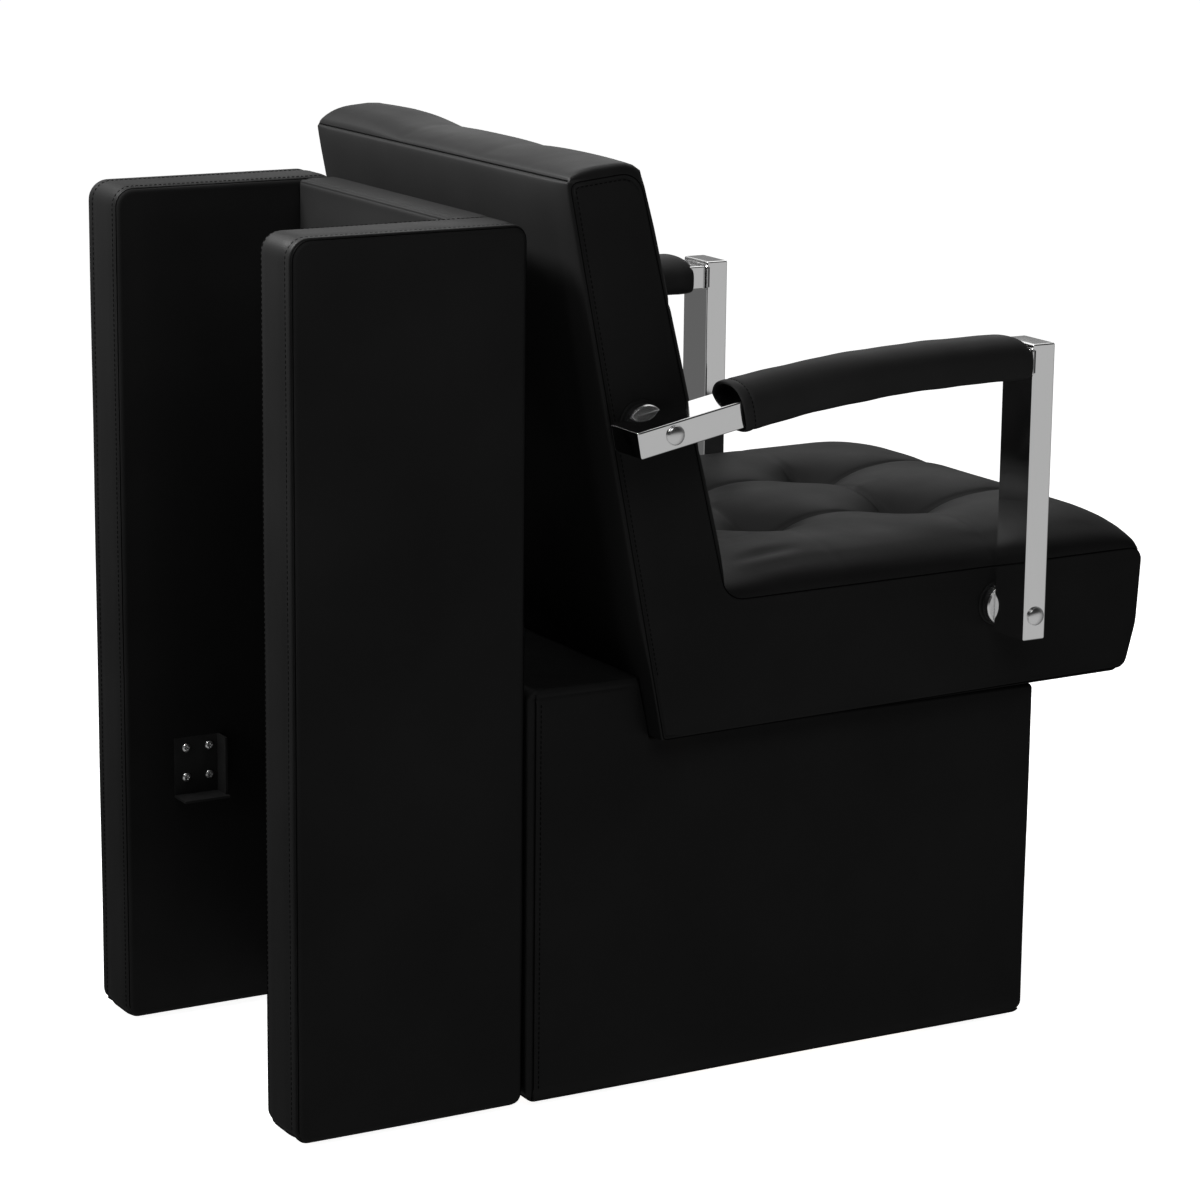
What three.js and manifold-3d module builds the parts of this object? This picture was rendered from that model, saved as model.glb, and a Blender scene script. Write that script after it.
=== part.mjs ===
// Salon hood-dryer chair: a box base, an L-shaped tufted seat and back, two bent chrome arms with
// vinyl sleeves, and a tall padded housing behind it that the dryer stands in.
// Millimetres, +Z up, the sitter faces -Y and X = 0 is the plane of symmetry.
import * as THREE from 'three';
import { mergeVertices } from 'three/addons/utils/BufferGeometryUtils.js';
import Module from 'manifold-3d';

// Gap between pieces that touch, and play round a bolt's shank.
const GAP = 0.3;
// Visible height of the levelling feet; everything else is measured from their upper face.
const FOOT_HEIGHT = 5;

// Padded vinyl skin and plywood.
const SKIN = 8;
const PLY = 18;
const UPHOLSTERY_EDGE = 10;

// Dryer housing: two wings and the cross panel between their front edges.
const WING = { outerX: 250, thickness: 75, frontY: 242, rearY: 492.5, top: 895, corner: 20 };
const CROSS = { thickness: 44, drop: 2, skin: 6, edge: 5, windowHalf: 80 };
const WING_WINDOW = { margin: 60, lowZ: 80, railLow: 225, railHigh: 325, topMargin: 70 };

// Base box, notched at the front for the seat.
const BASE = { halfWidth: 252, frontY: -374, rearY: 239.5, ledgeZ: 369.5, shelfZ: 432 };

// Seat and back: corners of the side profile as [y, z].
const BODY_HALF_WIDTH = 278;
const REAR_BOTTOM = [100, 370];
const REAR_TOP = [214, 938];
const FRONT_TOP = [135, 946];
const KNEE = [27, 508.5];
const SEAT_FRONT = { bottomY: -470, faceY: -492.5, faceLow: 480, faceHigh: 492 };
// The seat's top front edge stands back from its face, and is rounded.
const SEAT_TOP_EDGE = { back: 14, rounding: 24 };
const BACK_TOP_EDGE = { frontRounding: 34, rearRounding: 3, rise: 4 };
const PANEL_ROUNDING = { rearBottom: 4, rearTop: 8, frontTop: 24, seatFront: 5, seatBottom: 8, edge: 2.5 };
const SEAT_CROWN = 34;
const BACK_CROWN = 26;
const TOP_CROWN = 15;
const SEAT_FRAME_TOP = 480;
// Share of the back's thickness, from its rear face, where one layer ends and the next begins.
const LAYER = { rearPanel: 0.07, frame: 0.5, gap: 0.01 };
// Share of the back's height where its frame ends and where its two openings run.
const BACK_FRAME = { bottom: 0.001, top: 0.97, openings: [[0.3, 0.55], [0.65, 0.88]] };
// How far cuts reach past the back, as shares of its height and of its depth.
const CUT_PAST = { below: -0.2, above: 1.2, behind: -2, ahead: 2 };
// Width of wood left round the openings in the seat's and back's frames.
const FRAME_RIM = 60;
const TRAY_FRONT = 50;
// A crown's section is a curve whose handles stand at this share of its width and of its height.
const CROWN_HANDLE = { width: 0.7, height: 0.75 };
const SIDE_PANEL = SKIN;

// Arms: a rectangular bar bent into a leg and a drooping top rail.
const ARM = { innerX: 294, width: 53, bar: 27, legFrontY: -316, legBottom: 435, legTopRise: 4.5 };
const RAIL = { topZ: 737, arcStartY: -230, arcRadius: 1567, arcEndY: 60, arcSteps: 9, rearY: 170 };
const BAR_EDGE = 1.2;
const SLEEVE = { rearY: 55, frontY: -284, wall: 2.5, side: 5, below: 6, nose: 20, edge: 11 };
// Height of the sleeve over the bar at its front and rear ends.
const SLEEVE_ABOVE = { front: 16, rear: 23 };
const ARM_FOAM_SETBACK = { rear: 12, front: 14 };
const ARM_BOLT = { headRadius: 8.5, headHeight: 4.5, shankRadius: 4, length: 106 };
const SPACER = { radius: 20.5, ringRadius: 26, ringThickness: 2.7 };
const ARM_FIXINGS = [['front', -303, 464], ['rear', 132, 697]];

// Dryer bracket inside each wing.
const BRACKET = { frontY: 385, rearY: 437, lowZ: 241, highZ: 306, sheet: 2.5, ledge: 30, flange: 24 };
const SCREW = { headRadius: 4.8, headHeight: 3, shankRadius: 2, length: 20 };
const SCREW_ROWS = [['lower', 262], ['upper', 294.5]];
const SCREW_COLUMNS = [['front', 397], ['rear', 423.5]];

// Levelling feet and the bolts that hold the housing to the base.
const FOOT = { padRadius: 15, studRadius: 4, studLength: 34, chamfer: 1.5 };
const INSERT = { radius: 7, flangeRadius: 10, flange: 1.5, length: 16 };
const FOOT_POINTS = [['front', 190, -310], ['rear', 212.5, 432]];
const JOINING_BOLT = { headRadius: 6.5, headHeight: 5, shankRadius: 4, length: 52, x: 110 };
const JOINING_ROWS = [['lower', 150], ['upper', 340]];

// Sides of the round pieces and steps of the rounded corners.
const SIDES_OF = {
  drill: 12,
  insertDrill: 16,
  screw: 12,
  joiningBolt: 10,
  insert: 12,
  foot: 16,
  armBolt: 20,
  disc: 24,
};
const CORNER_STEPS = 5;
const CROWN_STEPS = 10;
// Edges rounded by more than this get three steps, smaller ones a single bevel.
const SMALL_EDGE = 5;
// A domed head: height of its rim, and the turns at which its dome is sampled, as shares.
const DOME = { rim: 0.25, turns: [0, 0.35, 0.7] };

// The sitter's left is +X.
const SIDES = [['left', 1], ['right', -1]];

const MATERIALS = {
  vinyl: new THREE.MeshStandardMaterial({ color: 0x0b0b0c, roughness: 0.5, metalness: 0 }),
  plywood: new THREE.MeshStandardMaterial({ color: 0xc39a68, roughness: 0.7, metalness: 0 }),
  foam: new THREE.MeshStandardMaterial({ color: 0xd9cfa4, roughness: 0.95, metalness: 0 }),
  chrome: new THREE.MeshStandardMaterial({ color: 0xdfe1e4, roughness: 0.08, metalness: 1 }),
  blackSteel: new THREE.MeshStandardMaterial({ color: 0x141414, roughness: 0.55, metalness: 0.4 }),
  zinc: new THREE.MeshStandardMaterial({ color: 0xb9bcc0, roughness: 0.35, metalness: 1 }),
  plastic: new THREE.MeshStandardMaterial({ color: 0x0d0d0d, roughness: 0.6, metalness: 0 }),
};

const wasm = await Module();
wasm.setup();

const chair = new THREE.Group();
const body = new THREE.Group();
body.position.z = FOOT_HEIGHT;
chair.add(body);

// ---- solids ----

function toManifold(geometry) {
  const bare = geometry.clone();
  bare.deleteAttribute('normal');
  bare.deleteAttribute('uv');
  const merged = mergeVertices(bare, 1e-4);
  const vertProperties = new Float32Array(merged.attributes.position.array);
  const triVerts = new Uint32Array(merged.index.array);
  return new wasm.Manifold(new wasm.Mesh({ numProp: 3, vertProperties, triVerts }));
}

function toGeometry(solid) {
  const mesh = solid.getMesh();
  const geometry = new THREE.BufferGeometry();
  geometry.setAttribute('position', new THREE.BufferAttribute(new Float32Array(mesh.vertProperties), 3));
  geometry.setIndex(new THREE.BufferAttribute(new Uint32Array(mesh.triVerts), 1));
  geometry.computeVertexNormals();
  return geometry;
}

function cut(geometry, ...tools) {
  const start = toManifold(geometry);
  return toGeometry(tools.reduce((solid, tool) => solid.subtract(toManifold(tool)), start));
}

function join(geometry, ...others) {
  const start = toManifold(geometry);
  return toGeometry(others.reduce((solid, other) => solid.add(toManifold(other)), start));
}

function common(geometry, ...others) {
  const start = toManifold(geometry);
  return toGeometry(others.reduce((solid, other) => solid.intersect(toManifold(other)), start));
}

function addPiece(name, geometry, material) {
  const piece = new THREE.Mesh(geometry, material);
  piece.name = name;
  body.add(piece);
  return piece;
}

// Closed outline through corners given as [u, v, rounding].
function outline(corners) {
  const shape = new THREE.Shape();
  corners.forEach(([u, v, rounding = 0], index) => {
    const here = new THREE.Vector2(u, v);
    const toward = (corner) =>
      new THREE.Vector2(corner[0], corner[1]).sub(here).setLength(rounding).add(here);
    const enter = toward(corners.at(index - 1));
    const leave = toward(corners[(index + 1) % corners.length]);
    if (index === 0) {
      shape.moveTo(enter.x, enter.y);
    } else {
      shape.lineTo(enter.x, enter.y);
    }
    if (rounding > 0) {
      shape.quadraticCurveTo(here.x, here.y, leave.x, leave.y);
    }
  });
  return shape;
}

// A side view outline (y, z) given a width across x, with its edges rounded.
const SIDE_PLANE = new THREE.Matrix4().makeBasis(
  new THREE.Vector3(0, 1, 0),
  new THREE.Vector3(0, 0, 1),
  new THREE.Vector3(1, 0, 0),
);

function slab(shape, [xLow, xHigh], edge = 0) {
  const geometry = new THREE.ExtrudeGeometry(shape, {
    depth: xHigh - xLow - 2 * edge,
    bevelEnabled: edge > 0,
    bevelThickness: edge,
    bevelSize: edge,
    bevelOffset: -edge,
    bevelSegments: edge > SMALL_EDGE ? 3 : 1,
    curveSegments: CORNER_STEPS,
  });
  geometry.applyMatrix4(SIDE_PLANE);
  geometry.translate(xLow + edge, 0, 0);
  return geometry;
}

function block([xLow, xHigh], [yLow, yHigh], [zLow, zHigh]) {
  const geometry = new THREE.BoxGeometry(xHigh - xLow, yHigh - yLow, zHigh - zLow);
  geometry.translate((xLow + xHigh) / 2, (yLow + yHigh) / 2, (zLow + zHigh) / 2);
  return geometry;
}

function across(side, near, far) {
  return side > 0 ? [near, far] : [-far, -near];
}

// Drill for a shank along X through (y, z).
function drillX(radius, y, z, [xLow, xHigh]) {
  const geometry = new THREE.CylinderGeometry(radius, radius, xHigh - xLow, SIDES_OF.drill);
  geometry.rotateZ(Math.PI / 2);
  geometry.translate((xLow + xHigh) / 2, y, z);
  return geometry;
}

function drillY(radius, x, z, [yLow, yHigh]) {
  const geometry = new THREE.CylinderGeometry(radius, radius, yHigh - yLow, SIDES_OF.drill);
  geometry.translate(x, (yLow + yHigh) / 2, z);
  return geometry;
}

function drillZ(radius, x, y, [zLow, zHigh]) {
  const geometry = new THREE.CylinderGeometry(radius, radius, zHigh - zLow, SIDES_OF.insertDrill);
  geometry.rotateX(Math.PI / 2);
  geometry.translate(x, y, (zLow + zHigh) / 2);
  return geometry;
}

// Round solid about Y through profile points [radius, height], listed from its foot up.
function turned(profile, segments) {
  const points = profile.map(([radius, height]) => new THREE.Vector2(radius, height));
  return new THREE.LatheGeometry(points, segments);
}

// Domed screw or bolt along Y: the head's underside is at 0, the shank runs down.
function fastener({ headRadius, headHeight, shankRadius, length }, segments) {
  const dome = DOME.turns.map((turn) => {
    const angle = turn * Math.PI / 2;
    return [headRadius * Math.cos(angle), headHeight * (DOME.rim + (1 - DOME.rim) * Math.sin(angle))];
  });
  return turned(
    [[0, -length], [shankRadius, -length], [shankRadius, 0], [headRadius, 0], ...dome, [0, headHeight]],
    segments,
  );
}

// ---- dryer housing ----

const WING_INNER_X = WING.outerX - WING.thickness;

function wingOutline(inset, bottom) {
  const front = WING.frontY + inset;
  const rear = WING.rearY - inset;
  const top = WING.top - inset;
  return outline([[front, bottom], [rear, bottom], [rear, top, WING.corner], [front, top]]);
}

function screwDrills(side) {
  const reach = across(side, WING_INNER_X - SCREW.length, WING_INNER_X + 2 * SCREW.length);
  return SCREW_ROWS.flatMap(([, z]) =>
    SCREW_COLUMNS.map(([, y]) => drillX(SCREW.shankRadius + GAP, y, z, reach)));
}

function addWing(label, side) {
  const width = across(side, WING_INNER_X, WING.outerX);
  const pocket = across(side, WING_INNER_X + SKIN, WING.outerX - SKIN);
  const core = across(side, WING_INNER_X + SKIN + GAP, WING.outerX - SKIN - GAP);
  const [, footX, footY] = FOOT_POINTS[1];
  const drills = screwDrills(side);
  const shell = slab(wingOutline(0, 0), width, UPHOLSTERY_EDGE);
  const hollow = slab(wingOutline(SKIN, -SKIN), pocket);
  addPiece(`housing_wing_cover_${label}`, cut(shell, hollow, ...drills), MATERIALS.vinyl);
  const windowY = [WING.frontY + WING_WINDOW.margin, WING.rearY - WING_WINDOW.margin];
  const windows = [
    block(width, windowY, [WING_WINDOW.lowZ, WING_WINDOW.railLow]),
    block(width, windowY, [WING_WINDOW.railHigh, WING.top - WING_WINDOW.topMargin]),
  ];
  const frame = slab(wingOutline(SKIN + GAP, 0), core);
  const footDrills = insertDrills(side * footX, footY);
  const opened = cut(frame, ...windows, ...drills, ...footDrills);
  addPiece(`housing_wing_frame_${label}`, opened, MATERIALS.plywood);
}

function crossOutline(inset, bottom) {
  const front = WING.frontY + inset;
  const rear = WING.frontY + CROSS.thickness - inset;
  const top = WING.top - CROSS.drop - inset;
  return outline([[front, bottom], [rear, bottom], [rear, top], [front, top]]);
}

function joiningDrills() {
  const reach = [BASE.rearY - JOINING_BOLT.length, BASE.rearY + JOINING_BOLT.length];
  return SIDES.flatMap(([, side]) =>
    JOINING_ROWS.map(([, z]) => drillY(JOINING_BOLT.shankRadius + GAP, side * JOINING_BOLT.x, z, reach)));
}

function addCrossPanel() {
  const halfWidth = WING_INNER_X - GAP;
  const pocketHalf = halfWidth - CROSS.skin;
  addPiece(
    'housing_cross_cover',
    cut(
      slab(crossOutline(0, 0), [-halfWidth, halfWidth], CROSS.edge),
      slab(crossOutline(CROSS.skin, -CROSS.skin), [-pocketHalf, pocketHalf]),
      ...joiningDrills(),
    ),
    MATERIALS.vinyl,
  );
  const coreHalf = pocketHalf - GAP;
  const frame = slab(crossOutline(CROSS.skin + GAP, 0), [-coreHalf, coreHalf]);
  const window = block(
    [-CROSS.windowHalf, CROSS.windowHalf],
    [WING.frontY, WING.rearY],
    [WING_WINDOW.lowZ, WING.top - WING_WINDOW.topMargin],
  );
  addPiece('housing_cross_frame', cut(frame, window, ...joiningDrills()), MATERIALS.plywood);
}

function addBracket(label, side) {
  const face = WING_INNER_X - GAP;
  const yRange = [BRACKET.frontY, BRACKET.rearY];
  const zRange = [BRACKET.lowZ, BRACKET.highZ];
  const plate = block(across(side, face - BRACKET.sheet, face), yRange, zRange);
  const ledge = block(
    across(side, face - BRACKET.ledge, face),
    yRange,
    [BRACKET.lowZ, BRACKET.lowZ + BRACKET.sheet],
  );
  const flange = block(
    across(side, face - BRACKET.flange, face),
    [BRACKET.frontY, BRACKET.frontY + BRACKET.sheet],
    zRange,
  );
  const bracket = cut(join(plate, ledge, flange), ...screwDrills(side));
  addPiece(`dryer_bracket_${label}`, bracket, MATERIALS.blackSteel);
  for (const [row, z] of SCREW_ROWS) {
    for (const [column, y] of SCREW_COLUMNS) {
      const name = `bracket_screw_${row}_${column}_${label}`;
      const screw = addPiece(name, fastener(SCREW, SIDES_OF.screw), MATERIALS.zinc);
      screw.rotation.z = side * Math.PI / 2;
      screw.position.set(side * (face - BRACKET.sheet - GAP), y, z);
    }
  }
}

// ---- base ----

// The notch behind the seat follows the slope of the back's rear face.
function baseOutline(inset, bottom) {
  const slope = (REAR_TOP[0] - REAR_BOTTOM[0]) / (REAR_TOP[1] - REAR_BOTTOM[1]);
  const notchY = (z) => REAR_BOTTOM[0] + 2 * GAP + inset + (z - REAR_BOTTOM[1]) * slope;
  const ledge = BASE.ledgeZ - inset;
  const shelf = BASE.shelfZ - inset;
  const front = BASE.frontY + inset;
  const rear = BASE.rearY - inset;
  return outline([
    [front, bottom],
    [rear, bottom],
    [rear, shelf],
    [notchY(shelf), shelf],
    [notchY(ledge), ledge],
    [front, ledge],
  ]);
}

function addBase() {
  const half = BASE.halfWidth;
  const pocketHalf = half - SKIN;
  const carcassHalf = pocketHalf - GAP;
  const hollowHalf = carcassHalf - PLY;
  const hollowInset = SKIN + GAP + PLY;
  const boardInset = hollowInset + GAP;
  addPiece(
    'base_cover',
    cut(
      slab(baseOutline(0, 0), [-half, half], UPHOLSTERY_EDGE / 2),
      slab(baseOutline(SKIN, -SKIN), [-pocketHalf, pocketHalf]),
      ...joiningDrills(),
    ),
    MATERIALS.vinyl,
  );
  addPiece(
    'base_carcass',
    cut(
      slab(baseOutline(SKIN + GAP, 0), [-carcassHalf, carcassHalf]),
      slab(baseOutline(hollowInset, -SKIN), [-hollowHalf, hollowHalf]),
      ...joiningDrills(),
    ),
    MATERIALS.plywood,
  );
  const boardHalf = hollowHalf - GAP;
  const boardY = [BASE.frontY + boardInset, BASE.rearY - boardInset];
  const board = block([-boardHalf, boardHalf], boardY, [0, PLY]);
  const [, footX, footY] = FOOT_POINTS[0];
  const drills = SIDES.flatMap(([, side]) => insertDrills(side * footX, footY));
  addPiece('base_bottom_board', cut(board, ...drills), MATERIALS.plywood);
  for (const [label, side] of SIDES) {
    for (const [row, z] of JOINING_ROWS) {
      const shape = fastener(JOINING_BOLT, SIDES_OF.joiningBolt);
      const bolt = addPiece(`joining_bolt_${row}_${label}`, shape, MATERIALS.zinc);
      bolt.rotation.z = Math.PI;
      bolt.position.set(side * JOINING_BOLT.x, BASE.rearY - hollowInset - GAP, z);
    }
  }
}

// Stepped hole for a threaded insert with the foot's stud running up through it.
function insertDrills(x, y) {
  return [
    drillZ(INSERT.flangeRadius + GAP, x, y, [-SKIN, INSERT.flange + GAP]),
    drillZ(INSERT.radius + GAP, x, y, [-SKIN, FOOT.studLength + SKIN]),
  ];
}

function addFeet() {
  const bore = FOOT.studRadius + GAP;
  const insertProfile = [
    [bore, GAP],
    [INSERT.flangeRadius, GAP],
    [INSERT.flangeRadius, INSERT.flange],
    [INSERT.radius, INSERT.flange],
    [INSERT.radius, INSERT.length],
    [bore, INSERT.length],
    [bore, GAP],
  ];
  const footProfile = [
    [0, 0],
    [FOOT.padRadius - FOOT.chamfer, 0],
    [FOOT.padRadius, FOOT.chamfer],
    [FOOT.padRadius, FOOT_HEIGHT - GAP],
    [FOOT.studRadius, FOOT_HEIGHT - GAP],
    [FOOT.studRadius, FOOT.studLength],
    [0, FOOT.studLength],
  ];
  for (const [label, side] of SIDES) {
    for (const [place, x, y] of FOOT_POINTS) {
      const bush = turned(insertProfile, SIDES_OF.insert);
      const insert = addPiece(`foot_insert_${place}_${label}`, bush, MATERIALS.zinc);
      insert.rotation.x = Math.PI / 2;
      insert.position.set(side * x, y, 0);
      const foot = new THREE.Mesh(turned(footProfile, SIDES_OF.foot), MATERIALS.plastic);
      foot.name = `levelling_foot_${place}_${label}`;
      foot.rotation.x = Math.PI / 2;
      foot.position.set(side * x, y, 0);
      chair.add(foot);
    }
  }
}

// ---- seat and back ----

const PANEL_INNER_X = BODY_HALF_WIDTH - SIDE_PANEL;
const PAD_HALF = PANEL_INNER_X - GAP;
const LEAN = Math.atan2(FRONT_TOP[0] - KNEE[0], FRONT_TOP[1] - KNEE[1]);
// The back's front plane carried down to the bottom of the body.
const FRONT_BOTTOM = [KNEE[0] - (KNEE[1] - REAR_BOTTOM[1]) * Math.tan(LEAN), REAR_BOTTOM[1]];

function between(from, to, share) {
  return [from[0] + (to[0] - from[0]) * share, from[1] + (to[1] - from[1]) * share];
}

// Point in the back's section: height share up the back, depth share from the rear to the front face.
function backPoint(height, depth, rounding = 0) {
  const rear = between(REAR_BOTTOM, REAR_TOP, height);
  const front = between(FRONT_BOTTOM, FRONT_TOP, height);
  return [...between(rear, front, depth), rounding];
}

function backYAt(z, depth) {
  const height = (z - REAR_BOTTOM[1]) / (REAR_TOP[1] - REAR_BOTTOM[1]);
  return backPoint(height, depth)[0];
}

function armDrills(side) {
  const reach = across(side, PANEL_INNER_X - ARM_BOLT.length, ARM.innerX + ARM_BOLT.length);
  return ARM_FIXINGS.map(([, y, z]) => drillX(ARM_BOLT.shankRadius + GAP, y, z, reach));
}

const ALL_ARM_DRILLS = SIDES.flatMap(([, side]) => armDrills(side));

// Long prism whose top is level at the seams and swells to the crown between them.
function crownedPrism(seam, crown) {
  const reach = 2 * PAD_HALF;
  const depth = 4 * PAD_HALF;
  const shape = new THREE.Shape();
  shape.moveTo(-reach, -reach);
  shape.lineTo(reach, -reach);
  shape.lineTo(reach, seam);
  shape.lineTo(PAD_HALF, seam);
  const handleX = PAD_HALF * CROWN_HANDLE.width;
  const handleZ = seam + crown / CROWN_HANDLE.height;
  shape.bezierCurveTo(handleX, handleZ, -handleX, handleZ, -PAD_HALF, seam);
  shape.lineTo(-reach, seam);
  const options = { depth, bevelEnabled: false, curveSegments: CROWN_STEPS };
  const geometry = new THREE.ExtrudeGeometry(shape, options);
  geometry.translate(0, 0, -depth / 2);
  return geometry;
}

function upCrown(seam, crown) {
  return crownedPrism(seam, crown).rotateX(Math.PI / 2);
}

function forwardCrown(seam, crown) {
  const geometry = crownedPrism(seam, crown);
  geometry.rotateX(Math.PI - LEAN);
  geometry.translate(0, KNEE[0], KNEE[1]);
  return geometry;
}

function seatPad(inset, bottom, halfWidth) {
  const top = KNEE[1] + SEAT_CROWN;
  const rearY = inset > 0 ? REAR_TOP[0] : backYAt(KNEE[1] - SKIN, LAYER.frame) - 2 * GAP;
  const shape = outline([
    [SEAT_FRONT.bottomY + inset, bottom],
    [SEAT_FRONT.faceY + inset, SEAT_FRONT.faceLow],
    [SEAT_FRONT.faceY + inset, SEAT_FRONT.faceHigh],
    [SEAT_FRONT.faceY + SEAT_TOP_EDGE.back + inset, top - inset, SEAT_TOP_EDGE.rounding],
    [rearY, top - inset],
    [rearY, bottom],
  ]);
  return common(slab(shape, [-halfWidth, halfWidth]), upCrown(KNEE[1] - inset, SEAT_CROWN));
}

function backPad(inset, bottom, depth, halfWidth) {
  const forward = (z, swell) => backYAt(z, 1) - swell / Math.cos(LEAN);
  const top = FRONT_TOP[1] + TOP_CROWN - inset;
  const rearTop = REAR_TOP[1] + TOP_CROWN / 2 - inset;
  const shape = outline([
    [backYAt(bottom, depth), bottom],
    [forward(bottom, BACK_CROWN - inset), bottom],
    [forward(top, BACK_CROWN - inset), top, BACK_TOP_EDGE.frontRounding],
    [backYAt(rearTop, depth), rearTop, BACK_TOP_EDGE.rearRounding],
  ]);
  return common(
    slab(shape, [-halfWidth, halfWidth]),
    forwardCrown(-inset, BACK_CROWN),
    upCrown(REAR_TOP[1] + BACK_TOP_EDGE.rise - inset, TOP_CROWN),
  );
}

function addSeat() {
  const wide = 2 * PAD_HALF;
  const backClearance = backPad(-GAP, KNEE[1], 0, wide);
  const cover = seatPad(0, REAR_BOTTOM[1], PAD_HALF);
  const lining = seatPad(SKIN, REAR_BOTTOM[1] - SKIN, wide);
  addPiece('seat_cover', cut(cover, lining, backClearance, ...ALL_ARM_DRILLS), MATERIALS.vinyl);
  const frameRearY = (z) => backYAt(z, LAYER.frame) - 2 * GAP;
  const rearLimit = block([-wide, wide], [frameRearY(SEAT_FRAME_TOP), wide], [0, 2 * wide]);
  const foam = seatPad(SKIN + GAP, SEAT_FRAME_TOP + GAP, PAD_HALF);
  addPiece('seat_foam', cut(foam, rearLimit, backClearance), MATERIALS.foam);
  const frontLean = (SEAT_FRONT.faceY - SEAT_FRONT.bottomY) / (SEAT_FRONT.faceLow - REAR_BOTTOM[1]);
  const frontY = (z) => SEAT_FRONT.bottomY + SKIN + GAP + (z - REAR_BOTTOM[1]) * frontLean;
  const low = REAR_BOTTOM[1];
  const frame = outline([
    [frontY(low), low],
    [frontY(SEAT_FRAME_TOP), SEAT_FRAME_TOP],
    [frameRearY(SEAT_FRAME_TOP), SEAT_FRAME_TOP],
    [frameRearY(low), low],
  ]);
  const trayHalf = PAD_HALF - FRAME_RIM;
  const tray = block([-trayHalf, trayHalf], [SEAT_FRONT.bottomY + TRAY_FRONT, 0], [low + PLY, wide]);
  const solid = slab(frame, [-PAD_HALF, PAD_HALF]);
  addPiece('seat_frame', cut(solid, tray, ...ALL_ARM_DRILLS), MATERIALS.plywood);
}

function addBack() {
  const wide = 2 * PAD_HALF;
  const bottom = KNEE[1] + GAP;
  const lining = backPad(SKIN, bottom - SKIN, 0, wide);
  const behind = (depth) => slab(
    outline([
      backPoint(CUT_PAST.below, depth),
      backPoint(CUT_PAST.above, depth),
      backPoint(CUT_PAST.above, CUT_PAST.behind),
      backPoint(CUT_PAST.below, CUT_PAST.behind),
    ]),
    [-wide, wide],
  );
  const cover = cut(backPad(0, bottom, 0, PAD_HALF), lining, behind(LAYER.rearPanel + LAYER.gap));
  addPiece('back_cover', cover, MATERIALS.vinyl);
  const foam = cut(backPad(SKIN + GAP, bottom, 0, PAD_HALF), behind(LAYER.frame + LAYER.gap));
  addPiece('back_foam', foam, MATERIALS.foam);
  const frame = outline([
    backPoint(BACK_FRAME.bottom, LAYER.rearPanel + LAYER.gap),
    backPoint(BACK_FRAME.top, LAYER.rearPanel + LAYER.gap),
    backPoint(BACK_FRAME.top, LAYER.frame),
    backPoint(BACK_FRAME.bottom, LAYER.frame),
  ]);
  const openings = BACK_FRAME.openings.map(([low, high]) => slab(
    outline([
      backPoint(low, CUT_PAST.behind),
      backPoint(high, CUT_PAST.behind),
      backPoint(high, CUT_PAST.ahead),
      backPoint(low, CUT_PAST.ahead),
    ]),
    [FRAME_RIM - PAD_HALF, PAD_HALF - FRAME_RIM],
  ));
  const solid = slab(frame, [-PAD_HALF, PAD_HALF]);
  addPiece('back_frame', cut(solid, ...openings, ...ALL_ARM_DRILLS), MATERIALS.plywood);
  const rear = outline([
    backPoint(0, 0),
    backPoint(1, 0, 2),
    backPoint(1, LAYER.rearPanel),
    backPoint(0, LAYER.rearPanel),
  ]);
  addPiece('back_rear_panel', slab(rear, [-PAD_HALF, PAD_HALF]), MATERIALS.vinyl);
}

function addSidePanel(label, side) {
  const shape = outline([
    [...REAR_BOTTOM, PANEL_ROUNDING.rearBottom],
    [...REAR_TOP, PANEL_ROUNDING.rearTop],
    [...FRONT_TOP, PANEL_ROUNDING.frontTop],
    [...KNEE],
    [SEAT_FRONT.faceY + PANEL_ROUNDING.seatFront + 1, KNEE[1], PANEL_ROUNDING.seatFront],
    [SEAT_FRONT.faceY, SEAT_FRONT.faceHigh],
    [SEAT_FRONT.faceY, SEAT_FRONT.faceLow],
    [SEAT_FRONT.bottomY, REAR_BOTTOM[1], PANEL_ROUNDING.seatBottom],
  ]);
  const panel = slab(shape, across(side, PANEL_INNER_X, BODY_HALF_WIDTH), PANEL_ROUNDING.edge);
  addPiece(`side_panel_${label}`, cut(panel, ...armDrills(side)), MATERIALS.vinyl);
}

// ---- arms ----

// Point beside the top rail's centre line: lift is measured square to the line.
function railPoint(y, lift) {
  const along = Math.min(Math.max(y - RAIL.arcStartY, 0), RAIL.arcEndY - RAIL.arcStartY);
  const angle = Math.asin(along / RAIL.arcRadius);
  const past = Math.max(y - RAIL.arcEndY, 0);
  const z = RAIL.topZ - RAIL.arcRadius * (1 - Math.cos(angle)) - past * Math.tan(angle);
  return [y + lift * Math.sin(angle), z + lift * Math.cos(angle)];
}

// Places along the rail where its outline turns, from one end of a stretch to the other.
function railStations(fromY, toY) {
  const low = Math.min(fromY, toY);
  const high = Math.max(fromY, toY);
  const arc = Array.from({ length: RAIL.arcSteps + 1 }, (unused, index) =>
    RAIL.arcStartY + (RAIL.arcEndY - RAIL.arcStartY) * index / RAIL.arcSteps);
  const stations = [low, ...arc.filter((y) => y > low + 1 && y < high - 1), high];
  return fromY < toY ? stations : stations.reverse();
}

function railLine(fromY, toY, lift) {
  return railStations(fromY, toY).map((y) => railPoint(y, lift(y)));
}

function sleeveAbove(y) {
  const share = (y - RAIL.arcStartY) / (SLEEVE.rearY - RAIL.arcStartY);
  return ARM.bar / 2 + SLEEVE_ABOVE.front + (SLEEVE_ABOVE.rear - SLEEVE_ABOVE.front) * Math.max(share, 0);
}

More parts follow.
